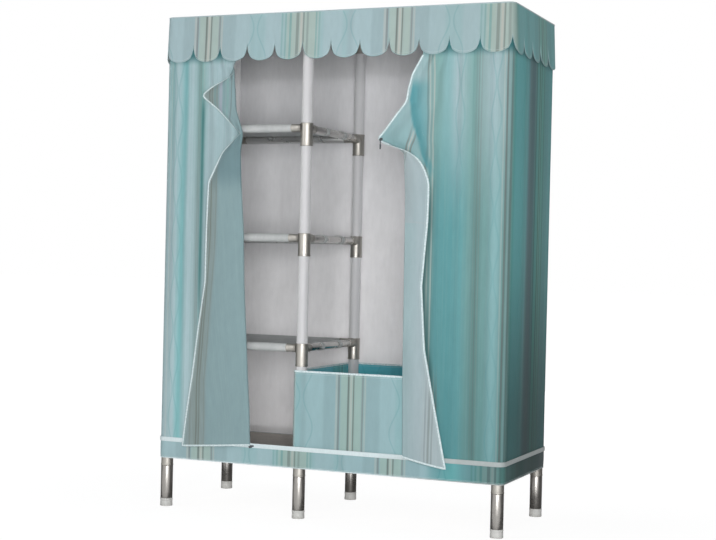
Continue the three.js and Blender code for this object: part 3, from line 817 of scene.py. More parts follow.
def place_sheets(name, materials, slot, node, *sheets, thick=cloth_thick):
    """A cloth piece of sheets, each with its points and layers. The last material is the reverse."""
    shape = Shape()
    for points, layers in sheets:
        add_sheet(shape, points, layers, thick, len(materials) - 1)
    return place_piece(shape, name, materials, node)


def make_columns():
    """Feet, legs and poles."""
    rim = 1.4 * mm
    waist = foot_radius - 0.7 * mm
    foot = [(0.0, 0.0), (foot_radius - 2 * rim, 0.0), (foot_radius - rim / 2, rim / 3),
            (foot_radius, rim * 1.2), (waist, foot_height * 0.55), (waist, foot_height - 5 * rim),
            (foot_radius, foot_height - 4 * rim), (foot_radius, foot_height - rim),
            (foot_radius - rim / 2, foot_height - rim / 3), (foot_radius - rim, foot_height),
            (pole_radius, foot_height), (pole_radius, 0.0)]
    leg_top = level_z["base"] - sleeve_below - gap
    leg = rounded(leg_radius, foot_height + gap, leg_top, tube_bevel)
    swage_rise, swage_length = 0.25 * mm, 5 * mm
    swages = []
    for level in list(level_z.values())[:-1]:
        low = level + sleeve_above + 1.5 * mm
        swages.append(rounded(pole_radius + swage_rise, low, low + swage_length, swage_rise,
                              pole_radius - mm))
    for column, x in column_x.items():
        for face, y in face_y.items():
            name = f"{face}_{column}"
            place = at(x, y, 0.0)
            pole = rounded(pole_radius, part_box(f"pole_{name}")[0].z, frame_top, tube_bevel)
            # Painted light: the back left pole gets the brighter copy of the white coat
            coat = brightened_tube if name == "back_left" else white_tube
            place_turned(f"foot_cap_{name}", foot_plastic, "foot_plastic", f"foot_{name}", place, foot)
            place_turned(f"leg_tube_{name}", steel_upright, "steel_tube", f"leg_{name}", place, leg)
            place_turned(f"white_pole_{name}", coat, "white_tube", f"pole_{name}", place, pole, *swages)


def make_rungs():
    """A connector at the front and the back of each column, and the depth tube between them."""
    bead = 0.8 * mm
    edge = 1.2 * mm
    low, high = -sleeve_below, sleeve_above
    sleeve = [(pole_radius, low), (sleeve_radius - edge, low), (sleeve_radius, low + edge),
              (sleeve_radius, low + 5 * mm), (sleeve_radius - bead, low + 6 * mm),
              (sleeve_radius - bead, high - 6 * mm), (sleeve_radius, high - 5 * mm),
              (sleeve_radius, high - edge), (sleeve_radius - edge, high), (pole_radius, high),
              (pole_radius, low)]
    root = sleeve_radius + 2.5 * mm
    lip = port_end - 3 * mm
    neck = port_radius - 0.4 * mm
    port = [(port_radius + 3 * mm, pole_radius), (port_radius + 2.6 * mm, sleeve_radius - bead),
            (port_radius + 0.4 * mm, root), (neck, root + 2 * mm), (neck, lip - mm),
            (port_radius, lip), (port_radius, port_end - 0.6 * mm),
            (port_radius - 0.6 * mm, port_end), (rail_radius, port_end), (rail_radius, pole_radius)]
    tube = rounded(rail_radius, front_y + port_end - 8 * mm, back_y - port_end + 8 * mm, rail_bevel)
    ports = {"left": [1], "middle": [-1, 1], "right": [-1]}
    for level, z in level_z.items():
        shelf = level.startswith("shelf")
        for column, x in column_x.items():
            if shelf and column == "right":
                continue
            node = f"rung_{level}_{column}"
            sides = [-1] if shelf and column == "middle" else ports[column]
            for face, y in face_y.items():
                inward = -1 if face == "front" else 1
                turns = [Matrix.Rotation(side * quarter, 4, "Y") for side in sides]
                turns.append(Matrix.Rotation(inward * quarter, 4, "X"))
                connector = Shape()
                add_turned(connector, sleeve, at(x, y, z), 40)
                for turn in turns:
                    add_turned(connector, port, at(x, y, z, turn))
                place_piece(connector, f"connector_{level}_{face}_{column}", [steel_sleeve],
                            node, tube_angle)
            place_turned(f"depth_tube_{level}_{column}", steel_deep, "steel_tube", node,
                         at(x, 0.0, z, along_y), tube, sides=32)


def make_rails():
    for level, z in level_z.items():
        shelf = level.startswith("shelf")
        for bay in ("left_bay",) if shelf else ("left_bay", "right_bay"):
            for face, y in face_y.items():
                node = f"rail_{level}_{face}" if shelf else f"rail_{level}_{face}_{bay}"
                coated = shelf and face == "front"
                material, slot = (white_tube, "white_tube") if coated else (lit_copy_steel_rail, "steel_tube")
                low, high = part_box(node)
                place_turned(f"{node}_tube", material, slot, node, at(0.0, y, z, along_x),
                             rounded(rail_radius, low.x, high.x, rail_bevel), sides=32)


def make_hanging_rod():
    """A rod in clips that go round the top rungs."""
    low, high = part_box("hanging_rod")
    y = (low.y + high.y) / 2
    rod_z = low.z + rail_radius
    half, bevel = 12 * mm, 0.8 * mm
    hook_radius, grip_radius = 15.8 * mm, 14.1 * mm
    hook = rounded(hook_radius, -half, half, bevel, rail_radius + gap)
    grip = rounded(grip_radius, -half, half, bevel, rail_radius - mm)
    rod = Shape()
    add_turned(rod, rounded(rail_radius, low.x, high.x, tube_bevel), at(0.0, y, rod_z, along_x))
    for x in (middle_x, right_x):
        add_turned(rod, hook, at(x, y, level_z["top"], along_y))
        add_turned(rod, grip, at(x, y, rod_z, along_x))
    place_piece(rod, "hanging_rod_tube", [lit_copy_steel_rail], "hanging_rod", tube_angle)


# Cloth helpers
def ripple(u, v, amount, seed, across, down):
    """Slow irregular folds: a fixed sum of waves, mostly upright."""
    total = 0
    for order in range(1, 6):
        angle = seed * 1.7 + order * 2.39996
        wave = u / across * (0.55 + 0.37 * order) + v / down * math.sin(angle * 3.1)
        total = total + np.sin(whole_turn * wave + angle * 5) / order
    return amount * total / 2.2


def arch(share):
    return np.sin(math.pi * np.clip(share, 0, 1))


def waves(share, count):
    return (1 - np.cos(whole_turn * count * share)) / 2


def smooth_step(value):
    value = np.clip(value, 0, 1)
    return value * value * (3 - 2 * value)


def window(value, low, low_full, high_full, high):
    rise = smooth_step((value - low) / (low_full - low))
    return rise * smooth_step((high - value) / (high - high_full))


def around(s, offset):
    """Points of a line round the frame at an offset from the pole axes. s is the running length,
    zero at the middle of the front and growing to the right. Gives x, y and the outward direction."""
    side, t = np.sign(s), np.abs(s)
    arc = offset * quarter
    corner, back_corner = right_x + arc, right_x + arc + depth
    front_turn = np.clip((t - right_x) / offset, 0, quarter)
    back_turn = np.clip((t - back_corner) / offset, 0, quarter)
    on_side = np.clip(t - corner, 0, depth)
    on_back = np.maximum(t - back_corner - arc, 0)
    turn = front_turn + back_turn
    x = np.minimum(t, right_x) + offset * (np.sin(front_turn) - 1 + np.cos(back_turn)) - on_back
    y = front_y - offset * np.cos(front_turn) + on_side + offset * np.sin(back_turn)
    return np.stack([side * x, y], axis=-1), np.stack([side * np.sin(turn), -np.cos(turn)], axis=-1)


def half_way_round(offset):
    return 2 * right_x + 2 * offset * quarter + depth


def hung(xy, out, push, z):
    """Points of a cloth that hangs along a line, pushed outwards from it."""
    return np.concatenate([xy + out * push[..., None], z[..., None]], axis=2)


def make_roof():
    """Roof cloth, sagging a little inside the top frame, with piping round its edge."""
    columns, rows = grids["roof"]
    s = np.linspace(-half_way_round(cap_line), half_way_round(cap_line), columns)
    edge, _ = around(s, cap_line)
    centre = np.array([0.0, (front_y + back_y) / 2])
    flat = centre + (edge - centre) * np.linspace(0, 1, rows)[:, None, None]
    x, y = flat[..., 0], flat[..., 1]
    left_bay, right_bay = (x - left_x) / (middle_x - left_x), (x - middle_x) / (right_x - middle_x)
    inside = arch(np.where(x < middle_x, left_bay, right_bay)) * arch((y - front_y) / depth)
    sag = (7 * mm + np.abs(ripple(x, y, 0.8 * mm, 3, 0.3, 0.3))) * inside
    points = np.concatenate([flat, (roof_top - cloth_thick / 2 - sag)[..., None]], axis=2)
    roof = place_sheets("roof_cloth", [cover_print, reverse_cloth], "printed_cloth",
                        "roof_and_valance", (points, {"print": flat}))
    path, _ = around(s[:-1], cap_line + 0.4 * mm)
    cord = Shape()
    path = np.column_stack([path, np.full(len(path), roof_top - piping_radius)])
    add_cord(cord, path, piping_radius, 8, closed=True)
    piping = place_piece(cord, "roof_piping", [binding_cloth], "roof_and_valance")


def lobe_rise(s):
    """Height of the hem above its lowest points: half-round lobes, straight at the back."""
    t = np.abs(s)
    front = (s + lobe_front_end) / (2 * lobe_front_end) * front_lobes
    side = (t - lobe_front_end) / (lobe_side_end - lobe_front_end) * side_lobes
    share = np.where(t <= lobe_front_end, front, side)
    place = 2 * (share - np.floor(share)) - 1
    rise = 1 - np.sqrt(np.maximum(1 - place ** 2, 0))
    return np.where(t > lobe_side_end, 0, rise), np.where(t > lobe_side_end, 0, 1 - place ** 2)


def lobe_stations():
    """Running lengths that lie close together at the notches between the lobes."""
    in_lobe = (1 - np.cos(np.linspace(0, math.pi, lobe_steps + 1)[:-1])) / 2
    front = [(2 * (lobe + in_lobe) / front_lobes - 1) * lobe_front_end for lobe in range(front_lobes)]
    side_run = lobe_side_end - lobe_front_end
    side = [lobe_front_end + side_run * (lobe + in_lobe) / side_lobes for lobe in range(side_lobes)]
    back = np.linspace(lobe_side_end, half_way_round(cap_line), valance_back_steps)
    right = np.concatenate([*side, back])
    return np.concatenate([-right[::-1], *front, right])


def make_valance():
    s = lobe_stations()
    xy, out = around(s, cap_line)
    rise, fullness = lobe_rise(s)
    near_notch = np.clip((np.sqrt(1 - fullness) - 1 + notch_share) / notch_share, 0, 1) * (rise > 0)
    hem = hem_height + lobe_depth * rise + notch_slit * near_notch ** 1.5
    top = roof_top - mm
    z = top + np.linspace(0, 1, valance_rows)[:, None] * (hem - top)
    fall = (roof_top - z) / valance_drop
    bulge = 3.4 * mm * fall ** 3 * (fullness - 0.35)
    push = valance_lean * fall + bulge + ripple(s, z, 0.9 * mm, 5, 0.14, 0.5) * fall
    points = hung(xy, out, push, z)
    valance = place_sheets("valance_cloth", [cover_print, reverse_cloth], "printed_cloth",
                           "roof_and_valance", (points, {"print": pair(s, z), "edge": pair(s, z - hem)}))
    cord = Shape()
    add_cord(cord, points[-1], 1.0 * mm, 6)
    hem_cord = place_piece(cord, "valance_hem", [hem_cloth], "roof_and_valance")


def make_skirt():
    columns, rows = grids["skirt"]
    half = half_way_round(cloth_line)
    s = np.linspace(-half, half, columns)
    xy, out = around(s, cloth_line)
    shares = np.linspace(0, 1, rows)[:, None]
    z = skirt_top + shares * (skirt_bottom - skirt_top) + 0 * s
    push = ripple(s, z, 0.8 * mm, 9, 0.17, 0.5) + 1.2 * mm * arch(shares)
    layers = {"print": pair(s, z), "edge": pair(s, np.minimum(z - skirt_bottom, skirt_top - z))}
    skirt = place_sheets("skirt_cloth", [skirt_print, reverse_cloth], "printed_cloth",
                         "side_cover_and_skirt", (hung(xy, out, push, z), layers))
    normals = np.column_stack([out[:-1], np.zeros(len(out) - 1)])
    for name, reach, height, half_wide in (
        ("skirt_top_binding", binding_reach, skirt_top - 1.5 * mm, 7.8 * mm),
        ("skirt_bottom_binding", 0.0, skirt_bottom + 1.6 * mm, 2.0 * mm),
    ):
        path = np.column_stack([xy[:-1], np.full(len(xy) - 1, height)]) + normals * reach
        tape = Shape()
        add_binding(tape, path, normals, half_wide, 1.7 * mm, closed=True)
        place_piece(tape, name, [skirt_binding], "side_cover_and_skirt")


def make_side(name, side, material):
    columns, rows = grids["side"]
    arc = cloth_line * quarter
    start, end = right_x + arc, right_x + 2 * arc + depth
    s = side * np.linspace(start, end, columns)[::side]
    t = np.abs(s)
    xy, out = around(s, cloth_line)
    shares = np.linspace(1, 0, rows)[:, None]
    z = skirt_top + shares * (curtain_top - skirt_top) + 0 * s
    along = np.clip((t - start) / depth, 0, 1)
    fine = ripple(t, z, 1.3 * mm, 12 + side, 0.13, 1.6) * arch(along)
    push = arch(shares) ** 0.7 * (4 * mm * waves(along, 2) + fine)
    layers = {"print": pair(s, z), "edge": pair(z, t - start)}
    cloth = place_sheets(name, [material, reverse_cloth], "printed_cloth", "side_cover_and_skirt",
                         (hung(xy, out, push, z), layers))


def make_back():
    columns, rows = grids["back"]
    width = 2 * right_x
    start = half_way_round(cloth_line) - right_x
    t = np.linspace(0, 1, columns)
    shares = np.linspace(1, 0, rows)[:, None]
    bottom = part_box("floor_panel")[1].z + mm
    z = bottom + shares * (curtain_top - bottom) + 0 * t
    x = right_x - t * width
    tuck = 3.4 * mm * smooth_step((skirt_top + 16 * mm - z) / (8 * mm))
    fine = ripple(x, z, 1.0 * mm, 21, 0.26, 2.0) * arch(t)
    y = back_y + cloth_line - tuck + arch(shares) ** 0.7 * (3 * mm * waves(t, 3) + fine)
    points = np.stack(np.broadcast_arrays(x, y, z), axis=2)
    layers = {"print": pair(start + t * width, z), "edge": pair(z, np.minimum(t, 1 - t) * width)}
    back = place_sheets("back_panel_cloth", [lining_cloth], "grey_lining", "back_panel", (points, layers))


# Shape of the curtains, as listed shares. Each row runs from the valance's hem (height 1) down to the
# skirt (height 0): height, reach of the leading edge, length of the lapel, and how far the lapel is
# turned back
left_row_shares = [
    (1.0, 0.92, 0.05, 0), (0.985, 0.92, 0.05, 0.33), (0.972, 0.92, 0.05, 0.67), (0.957, 0.92, 0.06, 1),
    (0.937, 0.93, 0.6, 1), (0.912, 0.94, 1.02, 1), (0.873, 0.955, 0.48, 1), (0.81, 1.06, 0.02, 1),
    (0.762, 1.03, 0.5, 1), (0.684, 1.05, 0.97, 1), (0.558, 1.1, 1.12, 1), (0.424, 1.125, 1.18, 1),
    (0.301, 1.165, 1.46, 1), (0.18, 1.205, 1.71, 1), (0.088, 1.24, 1.94, 1), (0, 1.26, 2.1, 1),
]
right_row_shares = [
    (1.0, 0.85, 0.08, 0), (0.953, 0.958, 0.08, 0), (0.914, 0.993, 0.08, 0), (0.885, 0.998, 0.08, 0),
    (0.842, 1.13, 0.08, 0), (0.79, 1.325, 0.08, 0), (0.776, 1.14, 0.08, 0.33),
    (0.768, 1.065, 0.1, 0.67), (0.76, 1.005, 0.15, 1), (0.737, 0.995, 0.6, 1),
    (0.712, 0.995, 0.83, 1), (0.684, 0.995, 0.96, 1),
    (0.585, 0.992, 0.91, 1), (0.43, 0.988, 0.7, 1), (0.278, 0.983, 0.86, 1), (0.2, 0.979, 1.12, 1),
    (0.109, 0.97, 1.41, 1), (0, 0.96, 1.78, 1),
]
left_pleat_width, right_pleat_width = 147 * mm, 162 * mm
left_reach, right_reach = 266 * mm, 328 * mm
left_lapel, right_lapel = 120 * mm, 80 * mm
left_sag, right_sag = 19 * mm, 27 * mm
pleat_depth = 8 * mm
fold_radius = 5.5 * mm
fold_steps = 10
lapel_bulge = 7 * mm
top_reach_share = 0.97
curtain_bottom = skirt_top + gap
# The right curtain's flap stands forward of its panel, left of a crease (height, place along the front)
crease_heights = np.array([1167, 1216, 1306, 1394, 1474]) * mm
crease_places = np.array([352, 333, 303, 284, 292]) * mm
crease_end = 352 * mm
flap_lift = 15 * mm
flap_steep = 22 * mm
tip_keep = 16 * mm
tip_blend = 75 * mm
# Lines on the lapels' reverse run upright at these places (height, place along the front)
lapel_line_heights = np.array([450, 720, 960, 1445]) * mm
lapel_line_places = np.array([-470, -452, -440, -443]) * mm
right_lapel_line = 378 * mm
# Lines on the flap slant from its crease towards the tip
flap_line_heights = np.array([1227, 1310]) * mm
flap_line_places = np.array([276, 301]) * mm
# The left curtain's painted fold shade lies at this run along its cloth
fold_shade_place = 128 * mm
# Heights in metres between which something shows: start, full, full, end
lift_window = (1.07, 1.2, 1.34, 1.48)
flap_line_window = (1.14, 1.18, 1.25, 1.34)
lapel_line_window = (0.0, 0.1, 0.38, 0.56)
crease_shade_window = (1.13, 1.19, 1.43, 1.48)
lapel_shadow_window = (0.3, 0.62, 0.98, 1.16)
fold_shade_window = (0.5, 0.85, 1.36, 1.47)


def pleat_at(z):
    height = (z - curtain_bottom) / (hem_height - curtain_bottom)
    below = np.interp(height, (0, 0.012, 0.04, 0.35, 0.7, 1), (0.05, 0.12, 0.4, 0.9, 1, 1))
    above = (curtain_top - z) / (curtain_top - hem_height)
    return pleat_depth * np.where(z >= hem_height, above, below)


def softened(values):
    for _ in range(2):
        inner = (values[:-2] + 2 * values[1:-1] + values[2:]) / 4
        values = np.concatenate([values[:1], inner, values[-1:]])
    return values


def curtain_row(side, z, width, lead, lapel, turn, sag, seed):
    """One level of a curtain, from its corner to its free edge: points and cloth distances."""
    angle = np.linspace(0, quarter, 9)[:-1]
    corner_x = side * (right_x + cloth_line * np.cos(angle))
    corner = np.stack([corner_x, front_y - cloth_line * np.sin(angle)], axis=1)
    heading = turn * math.pi * (np.arange(fold_steps) + 0.5) / fold_steps
    fold_step = math.pi * fold_radius / fold_steps
    bend_across = np.cumsum(np.cos(heading)) * fold_step
    bend_out = np.cumsum(np.sin(heading)) * fold_step
    share = np.linspace(0, 1, lapel_steps + 1)[1:]
    end = turn * math.pi
    flutter = 1 + 0.5 * math.sin(z * 9 + seed) + 0.3 * math.sin(z * 23 + seed * 2)
    bulge = turn * lapel_bulge * arch(share) * flutter
    across = np.concatenate([bend_across, bend_across[-1] + math.cos(end) * lapel * share])
    outward = np.concatenate([bend_out, bend_out[-1] + math.sin(end) * lapel * share + bulge])
    panel = lead - across.max()
    pleated = np.linspace(0, 1, pleat_steps)
    loose = np.linspace(0, 1, loose_steps + 1)[1:]
    inset = np.concatenate([pleated * width, width + loose * (panel - width)])
    wave = np.concatenate([waves(pleated, 3), waves(loose, 2)])
    calm = np.minimum(arch(np.concatenate([pleated, loose])) * 2, 1)
    settled = smooth_step((z - curtain_bottom) / (40 * mm))
    out = pleat_at(z) * wave + calm * settled * ripple(inset, z, 1.1 * mm, seed, 0.09, 1.3)
    x = side * (right_x - np.concatenate([inset, panel + across]))
    y = front_y - cloth_line - np.concatenate([out, outward])
    flat = np.concatenate([corner, np.stack([x, y], axis=1)])
    bend_run = panel + fold_step * np.arange(1, fold_steps + 1)
    run = np.concatenate([cloth_line * (angle - quarter), inset, bend_run, bend_run[-1] + lapel * share])
    drop = np.concatenate([np.zeros(len(run) - len(share)), sag * share])
    return np.column_stack([flat, z - drop]), run


def curtain_grid(side, width, reach, lapel, sag, shares, seed):
    """Rows of a whole curtain, from the roof to the skirt."""
    row_heights, *columns = np.array(shares)[::-1].T
    heights = np.linspace(1, 0, curtain_rows)
    leads, lengths, turns = (softened(np.interp(heights, row_heights, column)) for column in columns)
    levels = curtain_bottom + heights * (hem_height - curtain_bottom)
    rows = []
    for z in np.linspace(curtain_top, levels[0], curtain_top_rows + 1)[:-1]:
        grow = top_reach_share + (1 - top_reach_share) * (curtain_top - z) / (curtain_top - hem_height)
        lead, length = reach * leads[0] * grow, lapel * lengths[0]
        rows.append(curtain_row(side, z, width, lead, length, 0, 0, seed))
    for height, z, lead, length, turn in zip(heights, levels, leads * reach, lengths * lapel, turns):
        rows.append(curtain_row(side, z, width, lead, length, turn, sag * (1 - height) ** 3, seed))
    points, runs = (np.array(part) for part in zip(*rows))
    return (points[:, ::-1], runs[:, ::-1]) if side > 0 else (points, runs)


def lift_flap(points):
    """Brings the right curtain's flap forward, all but its tip, where the zip hangs."""
    x, z = points[..., 0], points[..., 2]
    tip = points[np.argmin(points[:, 0, 0]), 0]
    crease = np.interp(z, crease_heights, crease_places)
    left_of = smooth_step((crease + flap_steep - x) / flap_steep)
    from_tip = smooth_step((np.hypot(x - tip[0], z - tip[2]) - tip_keep) / tip_blend)
    points[..., 1] -= flap_lift * left_of * window(z, *lift_window) * from_tip


def right_marks(points):
    """Marks for the slanting lines on the flap and the upright ones on the lapel, a painted shade right
    of the crease, and a painted shadow next to the lapel's edge."""
    x, z = points[..., 0], points[..., 2]
    slope = np.diff(flap_line_places) / np.diff(flap_line_heights)
    on_flap = z > 1.0
    flap_line = flap_line_places[0] + slope * (z - flap_line_heights[0])
    mark = x - np.where(on_flap, flap_line, right_lapel_line)
    strength = np.where(on_flap, window(z, *flap_line_window), window(z, *lapel_line_window))
    # Painted shade in the strip right of the crease
    crease = np.interp(z, crease_heights, crease_places)
    across = (x - crease) / np.maximum(crease_end - crease, 20 * mm)
    inside = smooth_step((x - crease + 3 * mm) / (7 * mm)) * np.sqrt(np.clip(1 - across, 0, 1))
    # Painted shadow of the lapel, just right of its edge
    from_lapel = x - points[:, :1, 0]
    beside = np.exp(-(np.maximum(from_lapel, 0) / (13 * mm)) ** 2) * (from_lapel > -mm)
    return mark, strength, inside * window(z, *crease_shade_window), beside * window(z, *lapel_shadow_window)


def left_marks(points, runs):
    x, z = points[..., 0], points[..., 2]
    mark = x - np.interp(z, lapel_line_heights, lapel_line_places)
    # Painted shade along the left curtain's fold
    shade = np.exp(-((runs - fold_shade_place) / (6 * mm)) ** 2) * window(z, *fold_shade_window)
    return mark, 1.0, shade, 0.0


def make_curtain(name, side, width, reach, lapel, sag, shares, seed, materials, bound_from):
    """A curtain from its corner to its lapel. Its free edge is bound from the row bound_from down,
    and then along the bottom of its lapel and fold."""
    bound_steps = lapel_steps + fold_steps
    points, runs = curtain_grid(side, width, reach, lapel, sag, shares, seed)
    if side > 0:
        free, bound_bottom = 0, slice(1, bound_steps)
        lift_flap(points)
        mark, strength, shade, beside = right_marks(points)
    else:
        free, bound_bottom = -1, slice(-2, -bound_steps - 1, -1)
        mark, strength, shade, beside = left_marks(points, runs)
    z = points[..., 2]
    layers = {"print": pair(runs, z), "edge": pair(z, np.abs(runs[:, [free]] - runs)),
              "mark": pair(mark, strength), "crease": pair(shade, beside)}
    shape = Shape()
    add_sheet(shape, points, layers)
    cloth = shape.build(f"{name}_cloth", materials, cloth_angle)
    path, outs = (np.concatenate([grid[bound_from:, free], grid[-1, bound_bottom]])
                  for grid in (points, grid_normals(points)))
    tape = Shape()
    add_binding(tape, path, outs, 3.4 * mm, 1.5 * mm)
    piping = tape.build(f"{name}_binding", [piping_cloth], cloth_angle)
    for piece in (cloth, piping):
        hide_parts(name, f"{name}_pleats")
        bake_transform(piece)


def make_bin():
    low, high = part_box("storage_bin")
    corner, corner_steps = 9 * mm, 7
    wall = 0.75 * mm
    x0, x1, y0, y1 = low.x + wall, high.x - wall, low.y + wall, high.y - wall
    bottom, top = low.z + wall, high.z - piping_radius
    path, outs = [], []
    for start, end, out, steps in (
        ((x0 + corner, y0), (x1 - corner, y0), (0, -1), 70),
        ((x1, y0 + corner), (x1, y1 - corner), (1, 0), 50),
        ((x1 - corner, y1), (x0 + corner, y1), (0, 1), 70),
        ((x0, y1 - corner), (x0, y0 + corner), (-1, 0), 50),
    ):
        start, end, out = np.array(start), np.array(end), np.array(out)
        for t in np.linspace(0, 1, steps):
            path.append(start + t * (end - start))
            outs.append(out * math.sin(math.pi * t))
        for step in range(1, corner_steps):
            angle = math.atan2(out[1], out[0]) + quarter * step / corner_steps
            path.append(end - corner * out + corner * np.array([math.cos(angle), math.sin(angle)]))
            outs.append(0.0 * out)
    path, outs = np.array([*path, path[0]]), np.array([*outs, outs[0]])
    lengths = distances(path) + x0 + corner
    shares = np.linspace(1, 0, 30)[:, None]
    z = bottom + shares * (top - bottom) + 0 * lengths
    sway = ripple(lengths, z, 1.0 * mm, 31, 0.15, 0.5) * arch(shares) ** 0.5
    points = hung(path, outs, sway, z)
    base_x, base_y = np.meshgrid(np.linspace(x0 + wall, x1 - wall, 60),
                                 np.linspace(y1 - wall, y0 + wall, 40))
    base = np.stack([base_x, base_y, np.full_like(base_x, bottom + wall)], axis=2)
    bin_cloth = place_sheets("bin_cloth", [bin_print, bin_inside], "printed_cloth", "storage_bin",
                             (points, {"print": pair(lengths, z), "edge": pair(lengths, top - z)}),
                             (base, {"print": pair(base_x, base_y)}))
    tape = Shape()
    rim = points[0, :-1] + np.array([0.0, 0.0, 1.4 * mm])
    add_binding(tape, rim, grid_normals(points)[0, :-1], 3.7 * mm, 1.5 * mm, closed=True)
    piping = place_piece(tape, "bin_binding", [piping_cloth], "storage_bin")


def make_shelf(level, seed):
    """Hems round the rails, a sagging cloth between them, and straps round the side tubes."""
    rail_z = level_z[level]
    hem = rail_radius + gap + cloth_thick / 2 + 0.2 * mm
    half_bay = (middle_x - left_x) / 2
    half_narrow = half_bay - port_end - gap
    half_wide = half_bay - rail_radius - 3 * mm
    wrap_steps = 26
    front_wrap = np.radians(np.linspace(250, 0, wrap_steps))
    back_wrap = np.radians(np.linspace(0, 195, wrap_steps))
    plate_y = front_y + np.linspace(0, 1, 60)[1:-1] * depth
    path = np.concatenate([
        np.stack([front_y - hem * np.sin(front_wrap), rail_z + hem * np.cos(front_wrap)], axis=1),
        np.stack([plate_y, np.full_like(plate_y, rail_z + hem)], axis=1),
        np.stack([back_y + hem * np.sin(back_wrap), rail_z + hem * np.cos(back_wrap)], axis=1),
    ])
    from_port = np.minimum(plate_y - front_y, back_y - plate_y) - port_end - 4 * mm
    half = np.full(len(path), half_narrow)
    half[wrap_steps:-wrap_steps] += smooth_step(from_port / (18 * mm)) * (half_wide - half_narrow)
    across = np.linspace(-1, 1, 56)
    x = (middle_x + left_x) / 2 + half[:, None] * across
    y, z = path[:, :1], path[:, 1:]
    hollow = arch((y - front_y) / depth)
    droop = 9 * mm * hollow * (1 - 0.45 * across ** 2)
    creases = ripple(x, y, 1.1 * mm, seed, 0.2, 0.3) * hollow
    z = z + np.where(z > rail_z + hem * 0.98, creases - droop, 0)
    points = np.stack(np.broadcast_arrays(x, y, z), axis=2)[::-1]
    run = distances(path)
    layers = {"print": pair(x, run[:, None])[::-1],
              "edge": pair(run[:, None], half[:, None] * (1 - np.abs(across)))[::-1]}
    cloth = place_sheets(f"{level}_cloth_sheet", [shelf_cloth], "shelf_cloth", f"{level}_cloth",
                         (points, layers))
    strap_half = 12 * mm
    tail, turn_end, strap_sag = 34 * mm, 2 * mm, 5.4 * mm
    loop = rail_radius + gap + 1.1 * mm
    loop_wrap = np.radians(np.linspace(0, 180, 19))
    share = np.linspace(0, 1, 8)
    strip_x = np.concatenate([np.linspace(tail, turn_end, 8), -loop * np.sin(loop_wrap),
                              np.linspace(turn_end, tail, 8)])
    strip_z = np.concatenate([loop - strap_sag * (1 - share) ** 2 + 0.9 * mm, loop * np.cos(loop_wrap),
                              (2 * loop - strap_sag - 2.2 * mm) * share ** 1.5 - loop])
    lengths = distances(np.stack([strip_x, strip_z], axis=1))[:, None]
    straps = []
    for tube_x, inward in ((left_x, 1), (middle_x, -1)):
        for place in (-1 / 6, 1 / 6):
            centre_y = (front_y + back_y) / 2 + place * depth
            strap_y = centre_y + np.linspace(-strap_half, strap_half, 7)[::inward]
            strip = (tube_x + inward * strip_x[:, None], strap_y, rail_z + strip_z[:, None])
            to_edge = strap_half - np.abs(strap_y - centre_y) + 3.4 * mm
            straps.append((np.stack(np.broadcast_arrays(*strip), axis=2),
                           {"print": pair(strap_y, lengths), "edge": pair(lengths, to_edge)}))
    strap_piece = place_sheets(f"{level}_straps", [shelf_cloth], "shelf_cloth", f"{level}_cloth",
                               *straps, thick=1.0 * mm)


def make_floor_cloth():
    low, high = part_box("floor_panel")
    columns, rows = grids["floor"]
    x, y = np.meshgrid(np.linspace(low.x, high.x, columns), np.linspace(high.y, low.y, rows))
    inside = arch((x - low.x) / (high.x - low.x)) * arch((y - low.y) / (high.y - low.y))
    z = (low.z + high.z) / 2 + (ripple(x, y, 0.6 * mm, 51, 0.35, 0.4) - 1.2 * mm) * inside
    to_edge = np.minimum(np.minimum(x - low.x, high.x - x), np.minimum(y - low.y, high.y - y))
    sheet = (np.stack([x, y, z], axis=2), {"print": pair(x, y), "edge": pair(x, to_edge)})
    cloth = place_sheets("floor_cloth_sheet", [floor_cloth], "floor_cloth", "floor_panel", sheet,
                         thick=1.3 * mm)


def add_block(shape, x_span, y_span, z_span, bevel):
    """A box with chamfered edges between its low and high ends."""
    low, high = np.array([x_span, y_span, z_span]).T
    centre, half = (low + high) / 2, (high - low) / 2
    work = bmesh.new()
    for sign in [(x, y, z) for x in (-1, 1) for y in (-1, 1) for z in (-1, 1)]:
        for axis in range(3):
            reach = half - bevel
            reach[axis] = half[axis]
            work.verts.new(centre + sign * reach)
    bmesh.ops.convex_hull(work, input=work.verts)
    work.verts.index_update()
    faces = [[vertex.index for vertex in face.verts] for face in work.faces]
    shape.add([vertex.co[:] for vertex in work.verts], faces)
    work.free()


def spread(centre, half):
    return centre - half, centre + half


